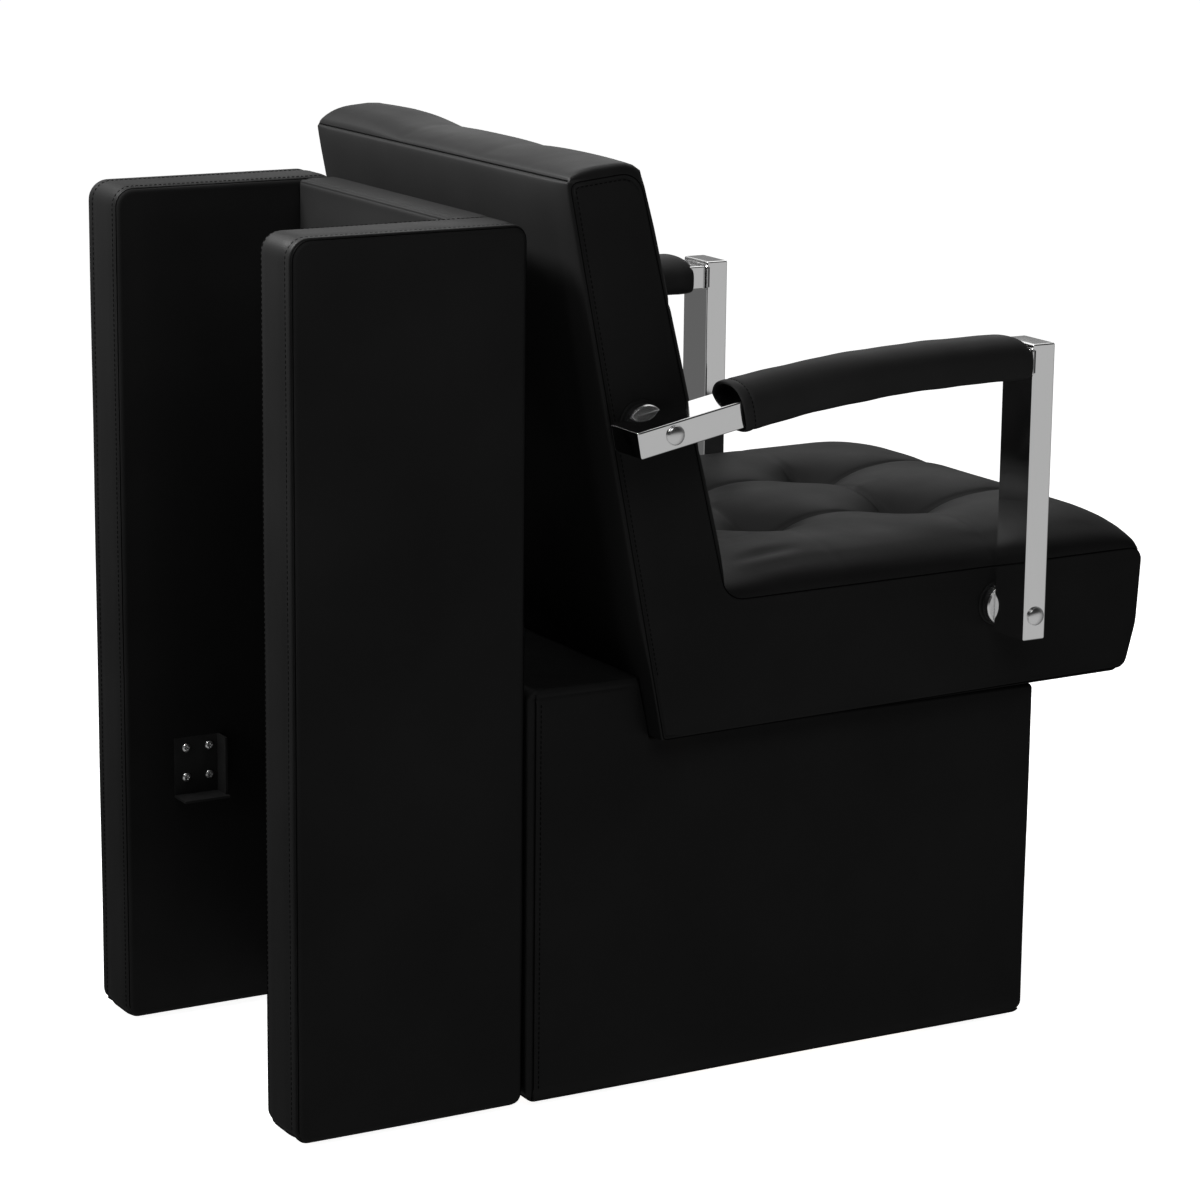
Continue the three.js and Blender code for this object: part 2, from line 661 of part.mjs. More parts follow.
function sleeveOutline(rearY, frontY, inset, rounding) {
  const top = railLine(rearY, frontY, (y) => sleeveAbove(y) - inset);
  top.at(-1).push(rounding);
  const bottom = railLine(frontY, rearY, () => inset - ARM.bar / 2 - SLEEVE.below);
  return outline([...top, ...bottom]);
}

function addArm(label, side) {
  const half = ARM.bar / 2;
  const legRearY = ARM.legFrontY + ARM.bar;
  const bar = outline([
    ...railLine(RAIL.rearY, legRearY, () => -half),
    [legRearY, ARM.legBottom],
    [ARM.legFrontY, ARM.legBottom],
    [ARM.legFrontY, RAIL.topZ + half + ARM.legTopRise],
    ...railLine(legRearY, RAIL.rearY, () => half),
  ]);
  const outerX = ARM.innerX + ARM.width;
  const barGeometry = slab(bar, across(side, ARM.innerX, outerX), BAR_EDGE);
  addPiece(`arm_bar_${label}`, cut(barGeometry, ...armDrills(side)), MATERIALS.chrome);
  const sleeve = slab(
    sleeveOutline(SLEEVE.rearY, SLEEVE.frontY, 0, SLEEVE.nose),
    across(side, ARM.innerX - SLEEVE.side, outerX + SLEEVE.side),
    SLEEVE.edge,
  );
  const past = 2 * ARM.bar;
  const inside = slab(
    sleeveOutline(SLEEVE.rearY + past, SLEEVE.frontY - past, SLEEVE.wall, 0),
    across(side, ARM.innerX - SLEEVE.side + SLEEVE.wall, outerX + SLEEVE.side - SLEEVE.wall),
    SLEEVE.edge / 2,
  );
  addPiece(`arm_sleeve_${label}`, cut(sleeve, inside), MATERIALS.vinyl);
  const foamRear = SLEEVE.rearY - ARM_FOAM_SETBACK.rear;
  const foamFront = SLEEVE.frontY + ARM_FOAM_SETBACK.front;
  const foamTop = railLine(foamRear, foamFront, (y) => sleeveAbove(y) - SLEEVE.wall - GAP);
  const foamBottom = railLine(foamFront, foamRear, () => half + GAP);
  const foam = slab(
    outline([...foamTop, ...foamBottom]),
    across(side, ARM.innerX, outerX),
    SLEEVE.edge / 2,
  );
  addPiece(`arm_foam_${label}`, foam, MATERIALS.foam);
}

function addArmFixings(label, side) {
  const bore = ARM_BOLT.shankRadius + GAP;
  const ringInner = BODY_HALF_WIDTH + GAP;
  const ringOuter = ringInner + SPACER.ringThickness;
  const disc = (radius, length) => [
    [bore, 0],
    [radius, 0],
    [radius, length],
    [bore, length],
    [bore, 0],
  ];
  for (const [place, y, z] of ARM_FIXINGS) {
    const turn = -side * Math.PI / 2;
    const boltShape = fastener(ARM_BOLT, SIDES_OF.armBolt);
    const bolt = addPiece(`arm_bolt_${place}_${label}`, boltShape, MATERIALS.chrome);
    bolt.rotation.z = turn;
    bolt.position.set(side * (ARM.innerX + ARM.width + GAP), y, z);
    const spacerLength = ARM.innerX - GAP - ringOuter - GAP;
    const spacerShape = turned(disc(SPACER.radius, spacerLength), SIDES_OF.disc);
    const spacer = addPiece(`arm_spacer_${place}_${label}`, spacerShape, MATERIALS.chrome);
    spacer.rotation.z = turn;
    spacer.position.set(side * (ringOuter + GAP), y, z);
    const ringShape = turned(disc(SPACER.ringRadius, SPACER.ringThickness), SIDES_OF.disc);
    const ring = addPiece(`spacer_ring_${place}_${label}`, ringShape, MATERIALS.plastic);
    ring.rotation.z = turn;
    ring.position.set(side * ringInner, y, z);
  }
}

addBase();
addCrossPanel();
addSeat();
addBack();
for (const [label, side] of SIDES) {
  addWing(label, side);
  addBracket(label, side);
  addSidePanel(label, side);
  addArm(label, side);
  addArmFixings(label, side);
}
addFeet();

export default chair;
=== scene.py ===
"""Hood-dryer chair: the looks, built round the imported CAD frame.

Every function that makes a shape works in millimetres in the row's frame: X to the sitter's left,
Y to the rear, Z up. add_piece turns them into metres.
"""
import math

import bmesh
import bpy
import numpy as np
from mathutils import Matrix, Vector
from mathutils.bvhtree import BVHTree


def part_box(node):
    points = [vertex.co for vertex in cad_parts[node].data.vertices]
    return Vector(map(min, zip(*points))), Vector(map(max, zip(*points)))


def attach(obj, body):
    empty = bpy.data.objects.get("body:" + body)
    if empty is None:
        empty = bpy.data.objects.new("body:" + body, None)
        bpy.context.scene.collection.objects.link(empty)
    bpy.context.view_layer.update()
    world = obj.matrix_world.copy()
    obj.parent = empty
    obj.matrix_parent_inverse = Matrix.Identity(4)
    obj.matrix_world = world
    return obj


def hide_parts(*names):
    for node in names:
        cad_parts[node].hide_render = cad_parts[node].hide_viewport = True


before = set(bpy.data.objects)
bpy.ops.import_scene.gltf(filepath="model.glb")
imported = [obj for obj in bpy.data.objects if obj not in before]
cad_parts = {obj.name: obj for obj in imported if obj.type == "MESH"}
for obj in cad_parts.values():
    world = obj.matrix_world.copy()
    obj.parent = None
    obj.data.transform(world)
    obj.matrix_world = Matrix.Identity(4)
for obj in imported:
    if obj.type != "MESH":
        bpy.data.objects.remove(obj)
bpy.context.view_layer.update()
scene = bpy.context.scene

MM = 0.001
BODY = "chair"
SIDES = (("left", 1), ("right", -1))

# Camera, metres and degrees.
CAMERA_PLACE = (-3.531, 2.0262, 1.4075)
CAMERA_AZIMUTH = 240.35
CAMERA_ELEVATION = 13.21
CAMERA_ROLL = 0.62
CAMERA_LENS = 117.13
CAMERA_SENSOR = 36.0


def box_mm(node):
    low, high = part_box(node)
    return np.array(low) / MM, np.array(high) / MM


# ---- materials ----


def set_inputs(node, **values):
    """Sets a shader node's inputs; an underscore in a name stands for a space."""
    for key, value in values.items():
        node.inputs[key.replace("_", " ")].default_value = value


def add_node(tree, kind, **values):
    node = tree.nodes.new("ShaderNode" + kind)
    set_inputs(node, **values)
    return node


def spread(tree, value, start, end, low, high):
    """The value as a share of the way from start to end, turned into a level from low to high."""
    node = add_node(tree, "MapRange", From_Min=start, From_Max=end, To_Min=low, To_Max=high)
    tree.links.new(value, node.inputs["Value"])
    return node.outputs["Result"]


class Finish:
    """A Principled material whose textures are laid out in metres on the object."""

    def __init__(self, name, colour, roughness, metallic=0.0, specular=0.5):
        self.material = bpy.data.materials.new(name)
        self.material.use_nodes = True
        self.tree = self.material.node_tree
        self.shader = self.tree.nodes["Principled BSDF"]
        set_inputs(self.shader, Base_Color=(*colour, 1), Roughness=roughness, Metallic=metallic,
                   Specular_IOR_Level=specular)
        self.place = self.tree.nodes.new("ShaderNodeTexCoord").outputs["Object"]
        self.normal = None

    def link(self, output, target):
        self.tree.links.new(output, target)

    def stretched(self, scale):
        mapping = add_node(self.tree, "Mapping", Scale=scale)
        self.link(self.place, mapping.inputs["Vector"])
        return mapping.outputs["Vector"]

    def noise(self, scale, detail=3.0, place=None):
        node = add_node(self.tree, "TexNoise", Scale=scale, Detail=detail)
        self.link(place or self.place, node.inputs["Vector"])
        return node.outputs["Fac"]

    def cells(self, scale):
        node = add_node(self.tree, "TexVoronoi", Scale=scale)
        node.feature = "SMOOTH_F1"
        self.link(self.place, node.inputs["Vector"])
        return node.outputs["Distance"]

    def spread(self, value, low, high, start=0.3, end=0.7):
        return spread(self.tree, value, start, end, low, high)

    def tint(self, value, dark, light):
        node = self.tree.nodes.new("ShaderNodeMix")
        node.data_type = "RGBA"
        set_inputs(node, A=(*dark, 1), B=(*light, 1))
        self.link(self.spread(value, 0, 1), node.inputs["Factor"])
        self.link(node.outputs["Result"], self.shader.inputs["Base Color"])

    def rough(self, value, low, high):
        self.link(self.spread(value, low, high), self.shader.inputs["Roughness"])

    def bump(self, height, distance, strength=1.0):
        node = add_node(self.tree, "Bump", Strength=strength, Distance=distance)
        self.link(height, node.inputs["Height"])
        if self.normal:
            self.link(self.normal, node.inputs["Normal"])
        self.normal = node.outputs["Normal"]
        self.link(self.normal, self.shader.inputs["Normal"])


def grey(value):
    return (value, value, value)


VINYL_SPECULAR = 0.07


def make_vinyl(name, dark, light, rough_low, rough_high, creases, specular=VINYL_SPECULAR):
    """Embossed black vinyl: fine grain, a slow unevenness and faint stretch lines."""
    finish = Finish(name, grey(dark), rough_low, specular=specular)
    finish.tint(finish.noise(6, 4), grey(dark), grey(light))
    finish.rough(finish.noise(11, 5), rough_low, rough_high)
    finish.bump(finish.noise(9, 2), 0.0016 * creases, 0.5)
    finish.bump(finish.noise(34, 3, finish.stretched((1, 1, 0.45))), 0.0004 * creases, 0.5)
    finish.bump(finish.cells(850), 0.00012, 0.4)
    finish.bump(finish.noise(2600, 2), 0.00003, 0.4)
    return finish.material


def make_chrome(name, rough_low, rough_high):
    finish = Finish(name, grey(0.88), rough_low, 1)
    finish.rough(finish.noise(25, 4), rough_low, rough_high)
    finish.bump(finish.noise(7, 1), 0.0006, 0.25)
    return finish.material


def make_black_steel():
    finish = Finish("black_steel", grey(0.012), 0.5, 0.2)
    finish.rough(finish.noise(60, 5), 0.42, 0.62)
    finish.bump(finish.noise(1400, 3), 0.00005, 0.5)
    return finish.material


def make_zinc():
    finish = Finish("zinc", grey(0.62), 0.3, 1)
    finish.tint(finish.noise(90, 4), grey(0.5), grey(0.75))
    finish.rough(finish.noise(260, 4), 0.2, 0.42)
    return finish.material


def make_plastic():
    finish = Finish("black_plastic", grey(0.005), 0.6, specular=0.2)
    finish.rough(finish.noise(140, 4), 0.5, 0.65)
    finish.bump(finish.noise(1800, 2), 0.00003, 0.4)
    return finish.material


def make_plywood():
    finish = Finish("plywood", (0.55, 0.36, 0.19), 0.65)
    grain = finish.noise(18, 6, finish.stretched((9, 9, 1)))
    finish.tint(grain, (0.42, 0.25, 0.12), (0.66, 0.46, 0.26))
    finish.rough(grain, 0.55, 0.75)
    finish.bump(grain, 0.0003, 0.5)
    return finish.material


def make_foam():
    finish = Finish("foam", (0.68, 0.62, 0.42), 0.95)
    finish.tint(finish.noise(30, 3), (0.6, 0.54, 0.35), (0.74, 0.69, 0.5))
    finish.bump(finish.cells(700), 0.0006, 0.8)
    return finish.material


VINYL = make_vinyl("black_vinyl", 0.008, 0.011, 0.44, 0.54, 1.0)
VINYL_SOFT = make_vinyl("black_vinyl_soft", 0.008, 0.011, 0.44, 0.54, 1.6)
# Painted light: the arm sleeves get a lighter copy of the black vinyl, about twice its albedo, standing
# in for the softer, brighter light the sleeves catch.
VINYL_SLEEVE_PAINTED_LIGHT = make_vinyl("black_vinyl_sleeve_painted_light", 0.016, 0.021, 0.5, 0.6, 1.4)
CHROME = make_chrome("chrome", 0.045, 0.1)
SATIN = make_chrome("satin_chrome", 0.22, 0.3)
BLACK_STEEL = make_black_steel()
ZINC = make_zinc()
PLASTIC = make_plastic()
PLYWOOD = make_plywood()
FOAM = make_foam()
THREAD = make_vinyl("black_thread", 0.002, 0.004, 0.75, 0.9, 0.0, 0.0)
# Painted shade: a near-black finish for the seam cords, darker than the vinyl, standing in for the shade
# in each seam's groove.
SEAM_SHADE = make_vinyl("seam_shadow", 0.002, 0.003, 0.8, 0.9, 0.0, 0.0)

# ---- mesh tools ----


def add_piece(name, points, faces, material, slot, replaced=(), fill=None):
    """A smooth closed mesh, riding on the chair and standing for its CAD nodes."""
    mesh = bpy.data.meshes.new(name)
    mesh.from_pydata((np.asarray(points) * MM).tolist(), [], [list(map(int, face)) for face in faces])
    work = bmesh.new()
    work.from_mesh(mesh)
    bmesh.ops.remove_doubles(work, verts=work.verts, dist=0.01 * MM)
    bmesh.ops.recalc_face_normals(work, faces=work.faces)
    work.to_mesh(mesh)
    work.free()
    mesh.shade_smooth()
    mesh.materials.append(material)
    piece = bpy.data.objects.new(name, mesh)
    scene.collection.objects.link(piece)
    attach(piece, BODY)
    if replaced:
        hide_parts(*replaced)
    return piece


def add_cover(name, shape, node, fill=0.9, material=None):
    """A vinyl cover from its points and faces."""
    return add_piece(name, *shape, material or VINYL, "black_vinyl", [node], fill=fill)


def sides_of(node, side):
    """The node's box, and its outer and inner X on that side of the chair."""
    low, high = box_mm(node)
    outer, inner = (high[0], low[0]) if side > 0 else (low[0], high[0])
    return low, high, outer, inner


def box_shell(lines):
    """Surface of a box as a lattice of quads along the given lines on each axis."""
    counts = [len(line) for line in lines]
    stride = (counts[1] * counts[2], counts[2], 1)
    quads = []
    for axis in range(3):
        u, v = (axis + 1) % 3, (axis + 2) % 3
        a, b = np.meshgrid(np.arange(counts[u] - 1), np.arange(counts[v] - 1), indexing="ij")
        for end in (0, counts[axis] - 1):
            start = end * stride[axis] + a * stride[u] + b * stride[v]
            ring = [start, start + stride[u], start + stride[u] + stride[v], start + stride[v]]
            if end == 0:
                ring.reverse()
            quads.append(np.stack(ring, -1).reshape(-1, 4))
    used, faces = np.unique(np.concatenate(quads), return_inverse=True)
    i, rest = np.divmod(used, stride[0])
    j, k = np.divmod(rest, stride[1])
    return np.stack([lines[0][i], lines[1][j], lines[2][k]], -1), faces.reshape(-1, 4)


NEAR_EDGE = np.array([0, 1, 2.2, 3.5, 5, 6.5, 8, 10, 12, 15, 19, 24, 30])


def edge_lines(low, high, pitch, extra=()):
    """Line places from low to high, close together near both ends and at the extra places."""
    count = max(2, round((high - low - 60) / pitch))
    middle = np.linspace(low + 30, high - 30, count)[1:-1]
    near = NEAR_EDGE[NEAR_EDGE < (high - low) / 2]
    lines = np.sort(np.concatenate([low + near, high - near, middle if high - low > 70 else [], extra]))
    keep = np.concatenate([[True], np.diff(lines) > 0.35])
    keep[-1] = True
    return lines[keep]


def seam_lines(*places):
    """Extra lines that let a groove show at each place."""
    return [place + step for place in places for step in (-2.2, -1.1, 0, 1.1, 2.2)]


def soft_box(points, low, high, axis, radii, edge):
    """Round a box: its four long edges along axis to arcs, then the rims of its two end faces.

    radii maps (sign, sign) on the other two axes to a radius. Also returns each point's depth inside
    the outline, measured on the sharp box.
    """
    u, v = [other for other in range(3) if other != axis]
    depth_u = np.minimum(points[:, u] - low[u], high[u] - points[:, u])
    depth_v = np.minimum(points[:, v] - low[v], high[v] - points[:, v])
    depth = np.minimum(depth_u, depth_v)
    sign_u = np.where(points[:, u] * 2 > low[u] + high[u], 1.0, -1.0)
    sign_v = np.where(points[:, v] * 2 > low[v] + high[v], 1.0, -1.0)
    normal = np.zeros((len(points), 2))
    normal[:, 0] = np.where(depth_u <= depth_v, sign_u, 0)
    normal[:, 1] = np.where(depth_u <= depth_v, 0, sign_v)
    result = points.copy()
    for (corner_u, corner_v), radius in radii.items():
        centre_u = (high[u] - radius) if corner_u > 0 else (low[u] + radius)
        centre_v = (high[v] - radius) if corner_v > 0 else (low[v] + radius)
        past_u = corner_u * (points[:, u] - centre_u)
        past_v = corner_v * (points[:, v] - centre_v)
        inside = (past_u > 0) & (past_v > 0)
        square = np.maximum(past_u, past_v)[inside]
        length = np.hypot(past_u, past_v)[inside]
        direction = np.stack([corner_u * past_u[inside], corner_v * past_v[inside]], -1)
        direction /= length[:, None]
        result[inside, u] = centre_u + direction[:, 0] * square
        result[inside, v] = centre_v + direction[:, 1] * square
        normal[inside] = direction
    side_depth = np.minimum(points[:, axis] - low[axis], high[axis] - points[:, axis])
    side_sign = np.where(points[:, axis] * 2 > low[axis] + high[axis], 1.0, -1.0)
    out = np.maximum(edge - depth, 0)
    up = np.maximum(edge - side_depth, 0)
    rim = (out > 0) & (up > 0)
    scale = np.ones(len(points))
    scale[rim] = (np.maximum(out, up) / np.hypot(out, up))[rim]
    result[:, u] += normal[:, 0] * out * (scale - 1)
    result[:, v] += normal[:, 1] * out * (scale - 1)
    result[:, axis] += side_sign * up * (scale - 1)
    return result, depth


def even_corners(radius):
    return dict.fromkeys(((1, 1), (1, -1), (-1, 1), (-1, -1)), radius)


def surface_normals(points, faces):
    a, b, c, d = (points[faces[:, corner]] for corner in range(4))
    face_normals = np.cross(c - a, d - b)
    normals = np.zeros_like(points)
    for corner in range(4):
        np.add.at(normals, faces[:, corner], face_normals)
    return normals / np.maximum(np.linalg.norm(normals, axis=1, keepdims=True), 1e-9)


def smooth(value):
    value = np.clip(value, 0, 1)
    return value * value * (3 - 2 * value)


def quarter(value):
    """Rises like a quarter circle from 0 to 1."""
    return np.sqrt(1 - (1 - np.clip(value, 0, 1)) ** 2)


def bell(value, width):
    return np.exp(-((value / width) ** 2))


def ripple(points, wave, turn):
    """Slow unevenness between -1 and 1, the same on every run."""
    x, y, z = (np.asarray(points) / wave).T
    one = np.sin(x * 1.3 + y * 0.9 + turn)
    two = np.sin(y * 1.1 - z * 1.7 + 2.1 * turn)
    three = np.sin(z * 0.8 + x * 1.9 - turn)
    return (one + two + three) / 3


def turns_of(count):
    """Angles evenly round a circle."""
    return [2 * math.pi * step / count for step in range(count)]


def ring_faces(base, rows, count):
    """Quads over rows of rings whose points start at base, then a face over each end."""
    faces = []
    for row in range(rows - 1):
        for step in range(count):
            here = base + row * count + step
            after = base + row * count + (step + 1) % count
            faces.append((here, after, after + count, here + count))
    faces.append(tuple(range(base + count - 1, base - 1, -1)))
    last = base + (rows - 1) * count
    faces.append(tuple(range(last, last + count)))
    return faces


def skin(rings):
    """Points and faces of a closed surface over rings of equal count."""
    points = np.concatenate([np.asarray(ring) for ring in rings])
    return points, ring_faces(0, len(rings), len(rings[0]))


def rounded_outline(corners, pitches, arc_steps):
    """Points round a closed outline of corners (y, z, radius), anticlockwise, and each line's count.

    pitches gives the spacing along the line that leaves each corner. An outline and its inset match
    point for point when the first one's counts, which are whole numbers, are passed in its place.
    """
    total = len(corners)
    points = []
    counts = []
    arcs = []
    for index in range(total):
        y, z, radius = corners[index]
        here = np.array([y, z], float)
        before = np.array(corners[index - 1][:2], float) - here
        after = np.array(corners[(index + 1) % total][:2], float) - here
        before /= np.linalg.norm(before)
        after /= np.linalg.norm(after)
        half = math.acos(np.clip(before @ after, -1, 1)) / 2
        reach = radius / math.tan(half)
        middle = before + after
        middle /= np.linalg.norm(middle)
        centre = here + middle * radius / math.sin(half)
        first, last = here + before * reach - centre, here + after * reach - centre
        sweep = math.pi - 2 * half
        turning = 1 if first[0] * last[1] - first[1] * last[0] > 0 else -1
        arc = []
        for step in range(arc_steps + 1):
            angle = turning * sweep * step / arc_steps
            c, s = math.cos(angle), math.sin(angle)
            arc.append(centre + (first[0] * c - first[1] * s, first[0] * s + first[1] * c))
        arcs.append(arc)
    for index in range(total):
        points.extend(arcs[index])
        start, end = arcs[index][-1], arcs[(index + 1) % total][0]
        if isinstance(pitches[index], int):
            count = pitches[index]
        else:
            count = max(1, math.ceil(np.linalg.norm(end - start) / pitches[index]))
        counts.append(count)
        points.extend(start + (end - start) * step / count for step in range(1, count))
    return np.array(points), counts


def inset_corners(corners, inset):
    """The outline's corners moved in by inset, with the radii that keep its arcs parallel."""
    total = len(corners)
    moved = []
    for index in range(total):
        y, z, radius = corners[index]
        here = np.array([y, z], float)
        enter = here - np.array(corners[index - 1][:2])
        leave = np.array(corners[(index + 1) % total][:2]) - here
        enter /= np.linalg.norm(enter)
        leave /= np.linalg.norm(leave)
        normal_in = np.array([-enter[1], enter[0]])
        normal_out = np.array([-leave[1], leave[0]])
        miter = (normal_in + normal_out) / (1 + normal_in @ normal_out)
        convex = enter[0] * leave[1] - enter[1] * leave[0] > 0
        new_radius = max(radius - inset, 0.6) if convex else radius + inset
        moved.append((*(here + miter * inset), new_radius))
    return moved


class Route:
    """A path laid on a piece's surface, in millimetres along its length."""

    def __init__(self, target, path):
        mesh = target.data
        corners = [v.co / MM for v in mesh.vertices]
        self.surface = BVHTree.FromPolygons(corners, [tuple(p.vertices) for p in mesh.polygons])
        self.path = np.asarray(path, float)
        self.along = lengths_along(self.path)
        self.length = self.along[-1]

    def at(self, place):
        """The surface's point and normal nearest to the path at this distance along it."""
        spot = [np.interp(place, self.along, self.path[:, axis]) for axis in range(3)]
        location, normal, _, _ = self.surface.find_nearest(Vector(spot))
        return location, normal


def lengths_along(path):
    return np.concatenate([[0], np.cumsum(np.linalg.norm(np.diff(path, axis=0), axis=1))])


STITCH_PROFILE = ((-0.5, 0.15), (-0.36, 0.85), (0, 1.0), (0.36, 0.85), (0.5, 0.15))


def stitch_row(name, target, path, pitch=5.2, length=3.6, radius=0.55, sides=5):
    """Thread stitches laid along path, snapped to the target piece's surface."""
    route = Route(target, path)
    count = int(route.length / pitch)
    points, faces = [], []
    for index in range(count):
        middle = (index + 0.5) * route.length / count
        ends = []
        for place in (middle - length / 2, middle + length / 2):
            location, normal = route.at(place)
            ends.append(location)
        centre = (ends[0] + ends[1]) / 2
        direction = (ends[1] - ends[0]).normalized()
        across = direction.cross(normal).normalized()
        up = across.cross(direction)
        base = len(points)
        for share, swell in STITCH_PROFILE:
            lift = radius * (0.35 if abs(share) < 0.4 else -0.5)
            for turn in turns_of(sides):
                spoke = across * math.cos(turn) + up * math.sin(turn)
                points.append(centre + direction * share * length + up * lift + spoke * radius * swell)
        faces.extend(ring_faces(base, len(STITCH_PROFILE), sides))
    return add_piece(name, [tuple(point) for point in points], faces, THREAD, "black_vinyl")


def seam_line(name, target, path, radius=0.6, pitch=3.5, sides=6):
    """Painted shade of a sewn seam: a fine near-black cord along path, half sunk in the target's surface,
    standing in for the shade in the seam's groove.
    """
    route = Route(target, path)
    places = np.linspace(0, route.length, max(4, round(route.length / pitch)))
    spots = [route.at(place) for place in places]
    rings = []
    for index, (centre, normal) in enumerate(spots):
        ahead = spots[min(index + 1, len(spots) - 1)][0]
        behind = spots[max(index - 1, 0)][0]
        direction = (ahead - behind).normalized()
        across = direction.cross(normal).normalized()
        up = across.cross(direction)
        circle = [across * math.cos(turn) + up * math.sin(turn) for turn in turns_of(sides)]
        rings.append([tuple(centre + spoke * radius) for spoke in circle])
    points, faces = skin(rings)
    return add_piece(name, points, faces, SEAM_SHADE, "black_vinyl")


# ---- dryer housing ----

TUCK = 1.6
WING_EDGE = 6
WING_CROWN = 1.8
WING_SEAM = 3.5
WING_STITCH = 15
WING_CORNERS = {(1, 1): 20, (1, -1): 13, (-1, 1): 14, (-1, -1): 12}


def band_path(low, high, inset, x):
    """Path up the rear, over the top and down the front of a wing's band, at one place across it."""
    rear, front, top, bottom = high[1] - inset, low[1] + inset, high[2] - inset, low[2] + 12
    corners = [
        (rear, bottom, 1), (rear, top, WING_CORNERS[(1, 1)]), (front, top, WING_CORNERS[(-1, 1)]),
        (front, bottom, 1),
    ]
    points, _ = rounded_outline(corners, [4.0] * 4, 8)
    open_end = int(np.argmin(np.abs(points[:, 0] - front) + np.abs(points[:, 1] - bottom)))
    points = points[:open_end + 1]
    return np.column_stack([np.full(len(points), x), points])


def tuck_in(sharp, low):
    """How far a cover is drawn in round its bottom edge, where it is stapled underneath."""
    return np.where(sharp[:, 2] > low[2] + 0.5, TUCK * smooth((low[2] + 16 - sharp[:, 2]) / 14), 0)


def build_wing(label, side):
    low, high, outer, inner = sides_of(f"housing_wing_cover_{label}", side)
    seams = [outer - side * WING_SEAM, outer - side * WING_STITCH, inner + side * WING_SEAM]
    lines = [
        edge_lines(low[0], high[0], 12, seam_lines(*seams)),
        edge_lines(low[1], high[1], 17),
        edge_lines(low[2], high[2], 19),
    ]
    sharp, faces = box_shell(lines)
    points, depth = soft_box(sharp, low, high, 0, WING_CORNERS, WING_EDGE)
    normals = surface_normals(points, faces)
    from_outer = np.abs(sharp[:, 0] - outer)
    from_inner = np.abs(sharp[:, 0] - inner)
    on_band = depth < 0.01
    face = WING_CROWN * smooth(depth / 45) + 0.5 * ripple(points, 90, side)
    band = -1.9 * bell(from_outer - WING_SEAM, 1.3) - 0.7 * bell(from_outer - WING_STITCH, 1.6)
    band += 0.7 * smooth((from_outer - WING_SEAM) / 3) * smooth((WING_STITCH + 3 - from_outer) / 3)
    band += -0.8 * bell(from_inner - WING_SEAM, 1.6)
    band += 1.4 * smooth((from_outer - WING_STITCH) / 14) * smooth((from_inner - WING_SEAM) / 14)
    band += 0.35 * ripple(points, 70, 2 + side)
    swell = np.where(on_band, band - tuck_in(sharp, low), face)
    points = points + normals * swell[:, None]
    cover = add_cover(f"wing_cover_{label}", (points, faces), f"housing_wing_cover_{label}")
    stitches = {"wing": outer - side * WING_STITCH, "wing_inner": inner + side * (WING_SEAM + 4)}
    for name, place in stitches.items():
        stitch_row(f"{name}_stitching_{label}", cover, band_path(low, high, 0, place))
    for name, place in (("wing", outer - side * 2), ("wing_inner", inner + side * 2)):
        seam_line(f"{name}_seam_{label}", cover, band_path(low, high, 1, place))


CROSS_SEAM = 7
CROSS_SWELL = 6


def build_cross():
    low, high = box_mm("housing_cross_cover")
    lines = [
        edge_lines(low[0], high[0], 17),
        edge_lines(low[1], high[1], 8, seam_lines(high[1] - CROSS_SEAM)),
        edge_lines(low[2], high[2], 19),
    ]
    sharp, faces = box_shell(lines)
    points, depth = soft_box(sharp, low, high, 1, even_corners(3), 6)
    normals = surface_normals(points, faces)
    from_rear = high[1] - sharp[:, 1]
    from_top = high[2] - sharp[:, 2]
    from_side = np.minimum(sharp[:, 0] - low[0], high[0] - sharp[:, 0])
    pull = 1 + 0.5 * bell(from_side - 30, 30) * bell(from_top - 40, 50)
    rear = CROSS_SWELL * smooth(from_side / 75) * smooth(from_top / 60) * pull
    rear += 1.2 * smooth(depth / 60) * ripple(points, 80, 0.4)
    top = 1.2 * quarter(from_side / 20) + 0.9 * smooth((from_rear - CROSS_SEAM) / 8)
    top -= 1.8 * bell(from_rear - CROSS_SEAM, 1.2)
    swell = np.where(from_rear < 0.01, rear, 0) + np.where(from_top < 0.01, top, 0)
    points = points + normals * swell[:, None]
    cover = add_cover("cross_cover", (points, faces), "housing_cross_cover")
    seam_y = high[1] - CROSS_SEAM
    seam_line("cross_seam", cover, [(low[0] + 4, seam_y, high[2]), (high[0] - 4, seam_y, high[2])])


# ---- base ----

BASE_EDGE = 5
BASE_SEAM = 8
BASE_STITCH = 14
# Y range over which the base's top steps up from under the seat to the rear shelf.
BASE_STEP = (101.0, 114.5)


